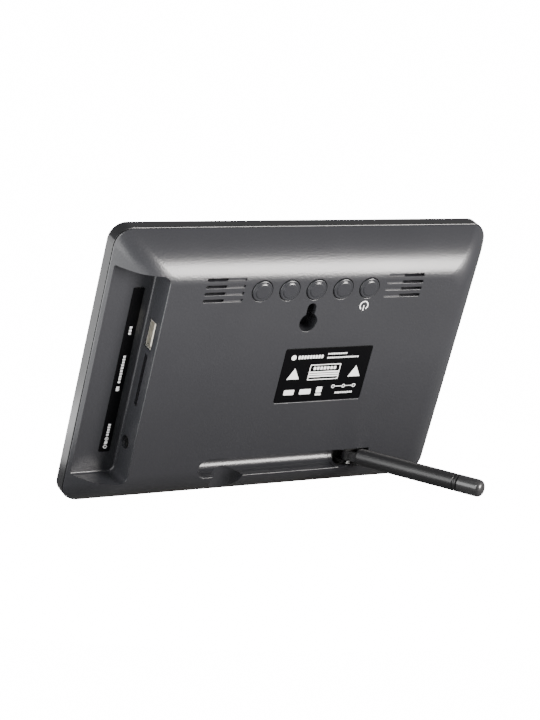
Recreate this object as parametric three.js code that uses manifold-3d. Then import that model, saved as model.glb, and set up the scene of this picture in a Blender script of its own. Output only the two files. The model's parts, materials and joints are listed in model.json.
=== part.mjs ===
// Digital photo frame with a folding leg, standing on a table and leaning back on the leg.
//
// The case is modelled in its own upright frame and then leant back: x runs along the width, y is
// the depth behind the front plane, z is the height above the bottom edge. Millimetres throughout.
// The part's origin is the middle of its footprint, and its screen faces -Y.

import * as THREE from 'three';
import { mergeVertices } from 'three/addons/utils/BufferGeometryUtils.js';
import Module from 'manifold-3d';

const wasm = await Module();
wasm.setup();

// ---- Driving dimensions -------------------------------------------------------------------

const GAP = 0.3;                   // clearance between pieces that touch or nearly touch
const ARC_STEPS = 3;               // half the facets in a quarter of a large rounded corner
const FINE_STEPS = 1;              // the same for small ones
const KEYHOLE_STEPS = 8;           // the same for the keyhole, whose arcs go most of the way round
const COVER_STEPS = 7;             // facets from the cover's rim up to its flat

const CASE_WIDTH = 194;
const CASE_HEIGHT = 134.3;
const CASE_DEPTH = 22.4;           // front plane to the flat of the back
const CASE_CORNER = 8;
const SEAM_DEPTH = 7.07;           // front plane to the joint between the bezel and the cover
const WALL = 2;                    // thickness of the bezel and of the cover's flat
const SLOPE_RUN = 20;              // from the edge of the case in to where the back is flat
const FRONT_EDGE = 1.2;            // rounding round the front face
const LIP_THICKNESS = 1.2;         // the cover's lip, which stands inside the bezel's walls
const LIP_REACH = 2.1;             // how far the lip goes in front of the seam
const SNAP_LENGTH = 12;
const SNAP_HEIGHT = 0.5;
const SNAP_PLACES = [-60, 0, 60];  // along the top and bottom edges

const SCREEN_WIDTH = 154;
const SCREEN_HEIGHT = 86;
const DISPLAY_WIDTH = 165;
const DISPLAY_HEIGHT = 100;
const DISPLAY_DEPTH = 3.7;         // panel, backlight and metal tray together
const GLASS_THICKNESS = 1.3;
const TRAY_WALL = 0.4;
const GASKET_THICKNESS = 0.5;
const CLAMP_LENGTH = 112;
const CLAMP_OVERLAP = 5;
const SHEET = 0.8;                 // sheet steel of the clamps
const CLAMP_SCREW_SPACING = 100;

const BUTTON_COUNT = 5;
const BUTTON_PITCH = 14;
const BUTTON_RADIUS = 4.95;
const BUTTON_RISE = 0.9;           // how far a button stands above the cover
const BUTTON_HEIGHT = 110.65;      // of the row, above the bottom edge
const BUTTON_TRAVEL = 0.5;
const SWITCH_SIZE = 6;
const SWITCH_DEPTH = 4.3;          // body and plunger
const BOARD_THICKNESS = 1.2;

const KEYHOLE_HEIGHT = 94.1;       // centre of its wide end
const KEYHOLE_RISE = 7.4;          // up to the centre of its narrow end
const KEYHOLE_RADIUS = 4.5;
const KEYHOLE_NARROW = 2.2;
const KEYHOLE_CUP_DEPTH = 7.9;     // from the flat back to the floor of the cup
const KEYHOLE_HEAD = 3.4;          // room for the wall screw's head beside the narrow end
const CUP_SKIN = 1.1;              // walls of the cup behind the keyhole

const GRILLE_NEAR = 37;            // from the middle line to the grille's near end
const GRILLE_FAR = 56.8;
const GRILLE_OPEN = 0.55;          // share of each slot, at its far end, that goes right through
const GRILLE_SLOTS = 4;
const GRILLE_PITCH = 3.37;
const GRILLE_SLOT_HEIGHT = 1.4;
const GRILLE_GROOVE_DEPTH = 0.7;
const GRILLE_HEIGHT = 111.5;
const SPEAKER_DEPTH = 5;
const SPEAKER_MARGIN = 1.2;        // the speaker is this much longer than its grille at each end
const SPEAKER_HEIGHT = 13.6;
const SPEAKER_STANDOFF = 1.2;      // the cover's inside to the front of the speaker
const SPEAKER_CORNER = 2;
const FENCE = 0.8;                 // the rib round each speaker

const PORT_WALL = 74.4;            // x of the wall that holds the sockets
const PORT_FLOOR = 9.2;            // depth of the recess's floor
const PORT_LOW = 15.3;
const PORT_HIGH = 118.3;
const PORT_CORNER = 3.5;
const PORT_SKIN = 1.6;             // walls of the recess
const PORT_LABEL_WIDTH = 5.2;
const PORT_LABEL_HEIGHT = 81.4;
const PORT_LABEL_PLACE = [81.3, 66.5];

const USB_HEIGHT = 87.1;
const USB_SIZE = [13.1, 5.4];      // along the case, through it
const CARD_HEIGHT = 65.15;
const CARD_SLOT = [24.6, 2.4];
const CARD_DEPTH = 15.5;           // depth of the slot's middle
const DC_HEIGHT = 33;
const DC_BORE = 2.9;

const RATING_SIZE = [46.2, 27.5];
const RATING_PLACE = [-15.55, 67.05];
const LABEL_THICKNESS = 0.3;
const LABEL_POCKET = 0.45;

const LEG_RADIUS = 4.1;
const LEG_LENGTH = 67.6;           // hinge pin to the middle of the rounding at the tip
const LEG_END_ROUND = 2.6;
const LEG_ROOT = 5.2;              // hinge pin to where the full round of the leg starts
const LEG_CAP_START = 58;          // hinge pin to the rubber cap
const LEG_SINK = 0.2;              // how deep the folded leg lies below the flat back
const LEG_SWING = 118;             // degrees from folded to standing
const HINGE_TILT = 13.8;           // degrees that the hinge pin leans out of the case's height
const HINGE_X = -45;
const HINGE_HEIGHT = 20.2;
const PIN_RADIUS = 1.25;
const PIN_CLEARANCE = 0.15;
const EYE_RADIUS = 3.4;
const EYE_HALF = 2.2;              // half the eye's thickness, along the pin
const CHEEK_RADIUS = 4.5;
const GROOVE_RADIUS = 4.5;
const GROOVE_END = 38;             // x of the groove's free end
const GROOVE_SKIN = 1.5;
const GROOVE_REACH = 12;           // how far its cut is carried out, past the back
const POCKET_ENDS = [-52.4, -38.4];  // x of the hinge pocket
const SCOOP_X = 21.8;              // the finger scoop beside the folded tip
const SCOOP_RADIUS = 8;
const SCOOP_DEPTH = 22.8;          // its centre line, just behind the flat back
const SCOOP_LOW = 5.3;             // below the slope, so that it runs out of the case

const MAIN_BOARD = { left: 16, right: 72.2, low: 28.5, high: 98.5 };
const MAIN_BOARD_DEPTH = 17.9;     // depth of its component side, which faces the screen

// ---- Derived dimensions -------------------------------------------------------------------

const BACK_INSIDE = CASE_DEPTH - WALL;
const RIM_DEPTH = SEAM_DEPTH + GAP / 2;
const BEZEL_DEPTH = SEAM_DEPTH - GAP / 2;
const MIDDLE = CASE_HEIGHT / 2;
const DISPLAY_FRONT = WALL + GASKET_THICKNESS + 0.1;
const DISPLAY_BACK = DISPLAY_FRONT + DISPLAY_DEPTH;
const BUTTON_SKIRT = BACK_INSIDE - 0.2;    // where a button's full round ends, inside the cover
const BUTTON_FLANGE_BACK = BACK_INSIDE - GAP;
const BUTTON_NECK = BUTTON_RADIUS - 1;     // inside the cover
const STEM_END = BACK_INSIDE - 2.8;
const KEY_BOARD_BACK = STEM_END - BUTTON_TRAVEL - 0.1 - SWITCH_DEPTH;
const KEY_BOARD_FRONT = KEY_BOARD_BACK - BOARD_THICKNESS;
const KEY_SCREW_HEIGHT = BUTTON_HEIGHT - 4.4;
const MAIN_BOARD_BACK = MAIN_BOARD_DEPTH + BOARD_THICKNESS;
const PART_BACK = MAIN_BOARD_DEPTH - GAP;  // where the parts under the main board begin
const SPEAKER_LENGTH = GRILLE_FAR - GRILLE_NEAR + 2 * SPEAKER_MARGIN;
const RIM_WALL = WALL * 1.19;      // the wall measured level at the rim, where it slopes most
const HINGE_DEPTH = CASE_DEPTH - LEG_SINK - LEG_RADIUS;
const RADIANS = Math.PI / 180;

const hingePoint = new THREE.Vector3(HINGE_X, HINGE_DEPTH, HINGE_HEIGHT);
const tilt = HINGE_TILT * RADIANS;
const hingeAxis = new THREE.Vector3(0, -Math.sin(tilt), Math.cos(tilt));
const legFolded = new THREE.Vector3(1, 0, 0);
const legStanding = legFolded.clone().applyAxisAngle(hingeAxis, LEG_SWING * RADIANS);
const legTip = hingePoint.clone().addScaledVector(legStanding, LEG_LENGTH);

// The case leans back until the bottom corner of the cover's rim and the leg's round tip stand on
// one level line: the tangent from that corner to a circle of the leg's radius round the tip.
const toTip = new THREE.Vector2(legTip.y - RIM_DEPTH, legTip.z);
const LEAN = toTip.angle() - Math.asin(LEG_RADIUS / toTip.length());

// ---- Shapes -------------------------------------------------------------------------------

function roundedRect(x, z, width, height, radius) {
  const right = width / 2 - radius;
  const top = height / 2 - radius;
  const shape = new THREE.Shape();
  shape.absarc(x + right, z + top, radius, 0, Math.PI / 2);
  shape.absarc(x - right, z + top, radius, Math.PI / 2, Math.PI);
  shape.absarc(x - right, z - top, radius, Math.PI, 1.5 * Math.PI);
  shape.absarc(x + right, z - top, radius, 1.5 * Math.PI, 2 * Math.PI);
  return shape;
}

// A keyhole outline: a wide round end with a narrower slot going up from it.
function keyholeShape(wide, narrow, rise) {
  const meet = Math.acos(narrow / wide);
  const shape = new THREE.Shape();
  shape.absarc(0, 0, wide, Math.PI - meet, 2 * Math.PI + meet);
  shape.absarc(0, rise, narrow, 0, Math.PI);
  return shape;
}

// A flat shape drawn in width and height, given thickness from one depth to another.
function slab(shape, front, back, curveSegments = ARC_STEPS, steps = 1) {
  const depth = back - front;
  const options = { depth, steps, bevelEnabled: false, curveSegments };
  const geometry = new THREE.ExtrudeGeometry(shape, options);
  geometry.rotateX(Math.PI / 2);
  geometry.translate(0, back, 0);
  return geometry;
}

// A slab with its edges rounded at both faces.
function softSlab(shape, front, back, edge) {
  const geometry = new THREE.ExtrudeGeometry(shape, {
    depth: back - front - 2 * edge,
    bevelThickness: edge,
    bevelSize: edge,
    bevelOffset: -edge,
    bevelSegments: 3,
    curveSegments: ARC_STEPS,
  });
  geometry.rotateX(Math.PI / 2);
  geometry.translate(0, back - edge, 0);
  return geometry;
}

function block(left, right, front, back, low, high) {
  const geometry = new THREE.BoxGeometry(right - left, back - front, high - low);
  geometry.translate((left + right) / 2, (front + back) / 2, (low + high) / 2);
  return geometry;
}

// A round bar whose axis runs through the depth of the case.
function peg(x, z, radius, front, back, sides = 12) {
  const geometry = new THREE.CylinderGeometry(radius, radius, back - front, sides);
  geometry.translate(x, (front + back) / 2, z);
  return geometry;
}

// A round bar whose axis runs along the width.
function crossPeg(depth, z, radius, left, right, sides = 20) {
  const geometry = new THREE.CylinderGeometry(radius, radius, right - left, sides);
  geometry.rotateZ(Math.PI / 2);
  geometry.translate((left + right) / 2, depth, z);
  return geometry;
}

// A round bar whose axis runs along the height.
function uprightPeg(x, depth, radius, low, high, sides = 24) {
  const geometry = new THREE.CylinderGeometry(radius, radius, high - low, sides);
  geometry.rotateX(Math.PI / 2);
  geometry.translate(x, depth, (low + high) / 2);
  return geometry;
}

function turned(profile, sides = 24) {
  return new THREE.LatheGeometry(profile.map(([r, y]) => new THREE.Vector2(r, y)), sides);
}

// A rounded block that narrows towards its back: its sides move in along a parabola that
// finishes level with the back face. The corner radius stays the same all the way.
function pillow(width, height, radius, front, back, run) {
  const outline = roundedRect(0, 0, width, height, radius);
  const geometry = slab(outline, front, back, ARC_STEPS, COVER_STEPS);
  const place = geometry.attributes.position;
  const depth = back - front;
  for (let i = 0; i < place.count; i += 1) {
    const level = (place.getY(i) - front) / depth;
    const inset = run * level;
    const y = front + depth * (1 - (1 - level) ** 2);
    const x = place.getX(i) - Math.sign(place.getX(i)) * inset;
    const z = place.getZ(i) - Math.sign(place.getZ(i)) * inset;
    place.setXYZ(i, x, y, z + MIDDLE);
  }
  return geometry;
}

// A flat ribbon: points [depth, height] down its middle, a thickness, and its two edges in x.
function ribbon(points, thickness, left, right) {
  const curve = new THREE.SplineCurve(points.map(([y, z]) => new THREE.Vector2(y, z)));
  const count = 12;
  const sides = [1, -1].map((side) => Array.from({ length: count + 1 }, (_, i) => {
    const tangent = curve.getTangent(i / count);
    const normal = new THREE.Vector2(-tangent.y, tangent.x);
    return curve.getPoint(i / count).addScaledVector(normal, side * thickness / 2);
  }));
  const shape = new THREE.Shape([...sides[0], ...sides[1].reverse()]);
  const geometry = new THREE.ExtrudeGeometry(shape, { depth: right - left, bevelEnabled: false });
  const axes = new THREE.Matrix4().makeBasis(
    new THREE.Vector3(0, 1, 0),
    new THREE.Vector3(0, 0, 1),
    new THREE.Vector3(1, 0, 0),
  );
  geometry.applyMatrix4(axes);
  geometry.translate(left, 0, 0);
  return geometry;
}

// A round lead through points in the case's frame.
function lead(points, radius) {
  const path = new THREE.CatmullRomCurve3(points.map((p) => new THREE.Vector3(...p)));
  const section = new THREE.Shape();
  section.absarc(0, 0, radius, 0, 2 * Math.PI);
  const options = { steps: 20, bevelEnabled: false, curveSegments: 4, extrudePath: path };
  return new THREE.ExtrudeGeometry(section, options);
}

// ---- Cutting and joining ------------------------------------------------------------------

// Shared corners are merged first, and the triangles that this shrinks to nothing, such as those
// at the poles of a turned shape, are left out.
function toSolid(geometry) {
  const bare = geometry.clone();
  bare.deleteAttribute('normal');
  bare.deleteAttribute('uv');
  const merged = mergeVertices(bare, 1e-5);
  const corners = merged.index.array;
  const kept = [];
  for (let i = 0; i < corners.length; i += 3) {
    const [a, b, c] = corners.slice(i, i + 3);
    if (a !== b && b !== c && c !== a) kept.push(a, b, c);
  }
  const vertProperties = new Float32Array(merged.attributes.position.array);
  const triVerts = new Uint32Array(kept);
  return new wasm.Manifold(new wasm.Mesh({ numProp: 3, vertProperties, triVerts }));
}

function toGeometry(solid) {
  const mesh = solid.getMesh();
  const geometry = new THREE.BufferGeometry();
  geometry.setAttribute('position', new THREE.BufferAttribute(mesh.vertProperties, 3));
  geometry.setIndex(new THREE.BufferAttribute(mesh.triVerts, 1));
  geometry.computeVertexNormals();
  return geometry;
}

function join(...geometries) {
  return toGeometry(geometries.map(toSolid).reduce((whole, piece) => whole.add(piece)));
}

function cut(base, ...tools) {
  return toGeometry(tools.map(toSolid).reduce((left, tool) => left.subtract(tool), toSolid(base)));
}

function common(first, second) {
  return toGeometry(toSolid(first).intersect(toSolid(second)));
}

// ---- Finishes -----------------------------------------------------------------------------

const finish = (color, roughness, metalness = 0) => ({ color, roughness, metalness });

const FINISH = {
  glossBlack: finish(0x141416, 0.18),
  satinGraphite: finish(0x3b3c40, 0.36),
  buttonGraphite: finish(0x424347, 0.3),
  blackPlastic: finish(0x1b1b1c, 0.45),
  rubber: finish(0x303033, 0.5),
  foam: finish(0x222222, 0.95),
  panelGlass: finish(0x0b0c10, 0.06),
  backlight: finish(0xf0f1ee, 0.4),
  steel: finish(0xb9bbbe, 0.35, 1),
  circuitBoard: finish(0x1d5a34, 0.45),
  chip: finish(0x17181a, 0.5),
  ceramic: finish(0x5b4a3a, 0.6),
  aluminium: finish(0xc5c7ca, 0.3, 1),
  socketWhite: finish(0xe9e5d8, 0.45),
  label: finish(0x101012, 0.35),
  polyimide: finish(0xb06a1c, 0.4),
  ribbonGrey: finish(0xb4b6ba, 0.5),
  paperCone: finish(0x29292b, 0.85),
};

function piece(name, geometry, look) {
  const mesh = new THREE.Mesh(geometry, new THREE.MeshStandardMaterial(look));
  mesh.name = name;
  return mesh;
}

// A pan-head screw that goes in from the front: its head's underside is at the given depth.
function screw(name, x, z, underHead, length) {
  const headRadius = 1.9;
  const headHeight = 1.2;
  const shankRadius = 0.85;
  const recess = block(-0.28, 0.28, -headHeight - 0.1, -headHeight / 2, -1.1, 1.1);
  const recessAcross = block(-1.1, 1.1, -headHeight - 0.1, -headHeight / 2, -0.28, 0.28);
  const body = turned([
    [0, -headHeight],
    [headRadius - 0.5, -headHeight],
    [headRadius, -headHeight + 0.5],
    [headRadius, 0],
    [shankRadius, 0],
    [shankRadius, length - 0.6],
    [0, length],
  ], 16);
  const mesh = piece(name, cut(body, recess, recessAcross), FINISH.steel);
  mesh.position.set(x, underHead, z);
  return mesh;
}

const SCREW_HOLE = 1.1;            // clears a screw's shank

// ---- Front: bezel and display -------------------------------------------------------------

const CLAMP_SCREWS = [-1, 1].map((side) => side * CLAMP_SCREW_SPACING / 2);
const clampBossHeight = (side) => MIDDLE + side * (DISPLAY_HEIGHT / 2 + 4.4);

function frontBezel() {
  const outline = roundedRect(0, MIDDLE, CASE_WIDTH, CASE_HEIGHT, CASE_CORNER);
  const body = softSlab(outline, 0, BEZEL_DEPTH + 2 * FRONT_EDGE, FRONT_EDGE);
  const behind = block(
    -CASE_WIDTH, CASE_WIDTH, BEZEL_DEPTH, BEZEL_DEPTH + 9, -CASE_HEIGHT, 2 * CASE_HEIGHT);
  const inner = roundedRect(
    0, MIDDLE, CASE_WIDTH - 2 * WALL, CASE_HEIGHT - 2 * WALL, CASE_CORNER - WALL);
  const hollow = slab(inner, WALL, BEZEL_DEPTH + 1);
  const opening = slab(
    roundedRect(0, MIDDLE, SCREEN_WIDTH + 1.2, SCREEN_HEIGHT + 1.2, 0.6), -1, WALL + 1, FINE_STEPS);
  const snapPockets = SNAP_PLACES.flatMap((x) => [-1, 1].map((side) => {
    const wall = MIDDLE + side * (CASE_HEIGHT / 2 - WALL);
    const reach = SNAP_HEIGHT + GAP;
    const half = SNAP_LENGTH / 2 + GAP;
    return block(x - half, x + half, SNAP_FRONT - GAP, SNAP_BACK + GAP, wall - reach, wall + reach);
  }));
  const bosses = [-1, 1].flatMap((side) => CLAMP_SCREWS.map((x) => (
    peg(x, clampBossHeight(side), 2.6, WALL - 0.5, DISPLAY_BACK - GAP))));
  const pilots = [-1, 1].flatMap((side) => CLAMP_SCREWS.map((x) => (
    peg(x, clampBossHeight(side), SCREW_HOLE, WALL, DISPLAY_BACK + 1))));
  const stopX = DISPLAY_WIDTH / 2 + GAP;
  const stopZ = DISPLAY_HEIGHT / 2 + GAP;
  const stopBack = WALL + 2.5;
  const stops = [
    block(stopX, stopX + 1.5, WALL - 0.5, stopBack, MIDDLE - 8, MIDDLE + 8),
    block(-stopX - 1.5, -stopX, WALL - 0.5, stopBack, MIDDLE - 8, MIDDLE + 8),
    block(-8, 8, WALL - 0.5, stopBack, MIDDLE + stopZ, MIDDLE + stopZ + 1.5),
    block(-8, 8, WALL - 0.5, stopBack, MIDDLE - stopZ - 1.5, MIDDLE - stopZ),
  ];
  const plain = cut(body, behind, hollow, opening, ...snapPockets);
  return piece('front_bezel', cut(join(plain, ...bosses, ...stops), ...pilots), FINISH.glossBlack);
}

function displayGasket() {
  const outer = roundedRect(0, MIDDLE, DISPLAY_WIDTH - 3, DISPLAY_HEIGHT - 3, 1);
  outer.holes.push(roundedRect(0, MIDDLE, SCREEN_WIDTH + 3, SCREEN_HEIGHT + 3, 1));
  const front = WALL + 0.05;
  const geometry = slab(outer, front, front + GASKET_THICKNESS, FINE_STEPS);
  return piece('display_gasket', geometry, FINISH.foam);
}

function displayLayer(name, front, back, look) {
  const x = DISPLAY_WIDTH / 2 - TRAY_WALL - GAP;
  const z = DISPLAY_HEIGHT / 2 - TRAY_WALL - GAP;
  return piece(name, block(-x, x, front, back, MIDDLE - z, MIDDLE + z), look);
}

function displayTray() {
  const x = DISPLAY_WIDTH / 2;
  const z = DISPLAY_HEIGHT / 2;
  const body = block(-x, x, DISPLAY_FRONT, DISPLAY_BACK, MIDDLE - z, MIDDLE + z);
  const inX = x - TRAY_WALL;
  const inZ = z - TRAY_WALL;
  const floor = DISPLAY_BACK - TRAY_WALL;
  const inside = block(-inX, inX, DISPLAY_FRONT - 1, floor, MIDDLE - inZ, MIDDLE + inZ);
  return piece('lcd_tray', cut(body, inside), FINISH.steel);
}

function displayClamp(name, side) {
  const boss = clampBossHeight(side);
  const inner = MIDDLE + side * (DISPLAY_HEIGHT / 2 - CLAMP_OVERLAP);
  const outer = boss + side * 3.6;
  const low = Math.min(inner, outer);
  const high = Math.max(inner, outer);
  const front = DISPLAY_BACK + GAP;
  const half = CLAMP_LENGTH / 2;
  const strip = block(-half, half, front, front + SHEET, low, high);
  const holes = CLAMP_SCREWS.map((x) => peg(x, boss, SCREW_HOLE, front - 1, front + SHEET + 1));
  return piece(name, cut(strip, ...holes), FINISH.steel);
}

// A screw that goes in from the back of the display, towards the front.
function clampScrew(name, x, z) {
  const mesh = screw(name, x, z, DISPLAY_BACK + GAP + SHEET + 0.1, 4);
  mesh.rotation.x = Math.PI;
  return mesh;
}

function display() {
  const group = new THREE.Group();
  const glassBack = DISPLAY_FRONT + GLASS_THICKNESS;
  const trayFloor = DISPLAY_BACK - TRAY_WALL;
  group.add(frontBezel(), displayGasket());
  group.add(displayLayer('lcd_panel', DISPLAY_FRONT, glassBack, FINISH.panelGlass));
  const backlightFront = glassBack + 0.1;
  group.add(displayLayer('lcd_backlight', backlightFront, trayFloor - 0.1, FINISH.backlight));
  group.add(displayTray());
  for (const [word, side] of [['top', 1], ['bottom', -1]]) {
    group.add(displayClamp(`display_clamp_${word}`, side));
    CLAMP_SCREWS.forEach((x, i) => {
      group.add(clampScrew(`clamp_screw_${word}_${i + 1}`, x, clampBossHeight(side)));
    });
  }
  return group;
}

// ---- Rear cover ---------------------------------------------------------------------------

const SNAP_BACK = BEZEL_DEPTH - 0.7;
const SNAP_FRONT = SNAP_BACK - 0.9;
const buttonX = Array.from({ length: BUTTON_COUNT }, (_, i) => (
  (i - (BUTTON_COUNT - 1) / 2) * -BUTTON_PITCH));
const KEY_BOARD_SCREWS = [-1.5, 1.5].map((n) => n * BUTTON_PITCH);
const MAIN_BOARD_SCREWS = [
  [MAIN_BOARD.left + 3.5, MAIN_BOARD.high - 3.5],
  [MAIN_BOARD.left + 3.5, MAIN_BOARD.low + 3.5],
  [MAIN_BOARD.right - 8, MAIN_BOARD.low + 17.5],
];
const CRADLE_BODY = { reach: 6.4, front: -7.4 };  // across and behind the hinge pin
const CRADLE_ENDS = [POCKET_ENDS[0] - 2, POCKET_ENDS[1]];
const CRADLE_EAR_DEPTH = 15.4;
const CRADLE_EAR = 1.5;
const CRADLE_SCREWS = [
  [CRADLE_ENDS[0] - 4.2, HINGE_HEIGHT],
  [HINGE_X, HINGE_HEIGHT + CRADLE_BODY.reach + 6.4],
];

// Turns a geometry drawn round the hinge pin, with the pin upright, into the case's frame.
function atHinge(geometry) {
  const turn = new THREE.Matrix4().makeRotationX(tilt);
  geometry.applyMatrix4(turn);
  geometry.translate(HINGE_X, HINGE_DEPTH, HINGE_HEIGHT);
  return geometry;
}

// The room the folded leg lies in, grown by a skin: a trough with a half-round floor. Its upper
// wall slopes with the hinge, because the leg swings out along that slope. Its lower wall is square.
function trough(skin, left, right) {
  const radius = GROOVE_RADIUS + skin;
  const open = GROOVE_REACH;
  const centre = HINGE_DEPTH;
  const floor = crossPeg(centre, HINGE_HEIGHT, radius, left, right, 20);
  const sloping = block(left, right, 0, open, -radius, radius);
  sloping.rotateX(tilt);
  sloping.translate(0, centre, HINGE_HEIGHT);
  const low = HINGE_HEIGHT - radius;
  const square = block(left, right, centre, centre + open, low, HINGE_HEIGHT);
  return join(floor, sloping, square);
}

// The groove's round free end: a ball under two round wells, one square to the back and one leaning
// with the hinge, so that it follows both walls of the trough.
function troughEnd(skin) {
  const radius = GROOVE_RADIUS + skin;
  const x = GROOVE_END - GROOVE_RADIUS;
  const ball = new THREE.SphereGeometry(radius, 20, 10);
  ball.translate(x, HINGE_DEPTH, HINGE_HEIGHT);
  const square = peg(x, HINGE_HEIGHT, radius, HINGE_DEPTH, HINGE_DEPTH + GROOVE_REACH, 20);
  const leaning = new THREE.CylinderGeometry(radius, radius, GROOVE_REACH, 20);
  leaning.translate(0, GROOVE_REACH / 2, 0);
  leaning.rotateX(tilt);
  leaning.translate(x, HINGE_DEPTH, HINGE_HEIGHT);
  return join(ball, square, leaning);
}

function scoop(skin) {
  return uprightPeg(SCOOP_X, SCOOP_DEPTH, SCOOP_RADIUS + skin, SCOOP_LOW, HINGE_HEIGHT);
}

function recess(skin) {
  const reach = CASE_WIDTH / 2 + 20 - PORT_WALL + skin;
  const x = PORT_WALL - skin + reach / 2;
  const z = (PORT_LOW + PORT_HIGH) / 2;
  const height = PORT_HIGH - PORT_LOW + 2 * skin;
  return slab(
    roundedRect(x, z, reach, height, PORT_CORNER + skin), PORT_FLOOR - skin, CASE_DEPTH + 5);
}

function keyhole(wide, narrow, front, back) {
  const geometry = slab(keyholeShape(wide, narrow, KEYHOLE_RISE), front, back, KEYHOLE_STEPS);
  geometry.translate(0, 0, KEYHOLE_HEIGHT);
  return geometry;
}

function grilleSlots() {
  const slots = [];
  for (const side of [-1, 1]) {
    for (let i = 0; i < GRILLE_SLOTS; i += 1) {
      const z = GRILLE_HEIGHT + (i - (GRILLE_SLOTS - 1) / 2) * GRILLE_PITCH;
      const length = GRILLE_FAR - GRILLE_NEAR;
      const open = length * GRILLE_OPEN;
      const x = side * (GRILLE_NEAR + GRILLE_FAR) / 2;
      const openX = side * (GRILLE_FAR - open / 2);
      const height = GRILLE_SLOT_HEIGHT;
      const groove = CASE_DEPTH - GRILLE_GROOVE_DEPTH;
      slots.push(slab(
        roundedRect(x, z, length, height, height / 2.02), groove, CASE_DEPTH + 1, FINE_STEPS));
      slots.push(slab(
        roundedRect(openX, z, open, height, height / 2.02), BACK_INSIDE - 1, CASE_DEPTH + 1,
        FINE_STEPS));
    }
  }
  return slots;
}

function portHoles() {
  const left = PORT_WALL - PORT_SKIN - 1;
  const right = PORT_WALL + 1;
  const [usbLong, usbDeep] = USB_SIZE;
  const usbBack = PART_BACK + GAP;
  const usbHalf = usbLong / 2 + GAP;
  const slotHalf = CARD_SLOT[0] / 2 + GAP;
  const slotDeep = CARD_SLOT[1] / 2;
  const dcDepth = PART_BACK - 3.45;
  return [
    block(left, right, usbBack - usbDeep - 2 * GAP, usbBack, USB_HEIGHT - usbHalf,
      USB_HEIGHT + usbHalf),
    block(left, right, CARD_DEPTH - slotDeep, CARD_DEPTH + slotDeep, CARD_HEIGHT - slotHalf,
      CARD_HEIGHT + slotHalf),
    crossPeg(dcDepth, DC_HEIGHT, DC_BORE + GAP, left, right),
  ];
}

function speakerFence(side) {
  const x = side * (GRILLE_NEAR + GRILLE_FAR) / 2;
  const length = SPEAKER_LENGTH + 2 * GAP;
  const height = SPEAKER_HEIGHT + 2 * GAP;
  const inner = roundedRect(x, GRILLE_HEIGHT, length, height, 1);
  const outer = roundedRect(x, GRILLE_HEIGHT, length + 2 * FENCE, height + 2 * FENCE, 1.5);
  outer.holes.push(inner);
  return slab(outer, BACK_INSIDE - 3, BACK_INSIDE + 0.5, FINE_STEPS);
}

// The room inside the cover, or the largest piece that fits in it with a gap all round.
function coverInside(gap) {
  const inset = RIM_WALL + gap;
  return pillow(
    CASE_WIDTH - 2 * inset, CASE_HEIGHT - 2 * inset, CASE_CORNER - inset,
    RIM_DEPTH - 0.01, BACK_INSIDE - gap, SLOPE_RUN - RIM_WALL);
}

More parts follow.
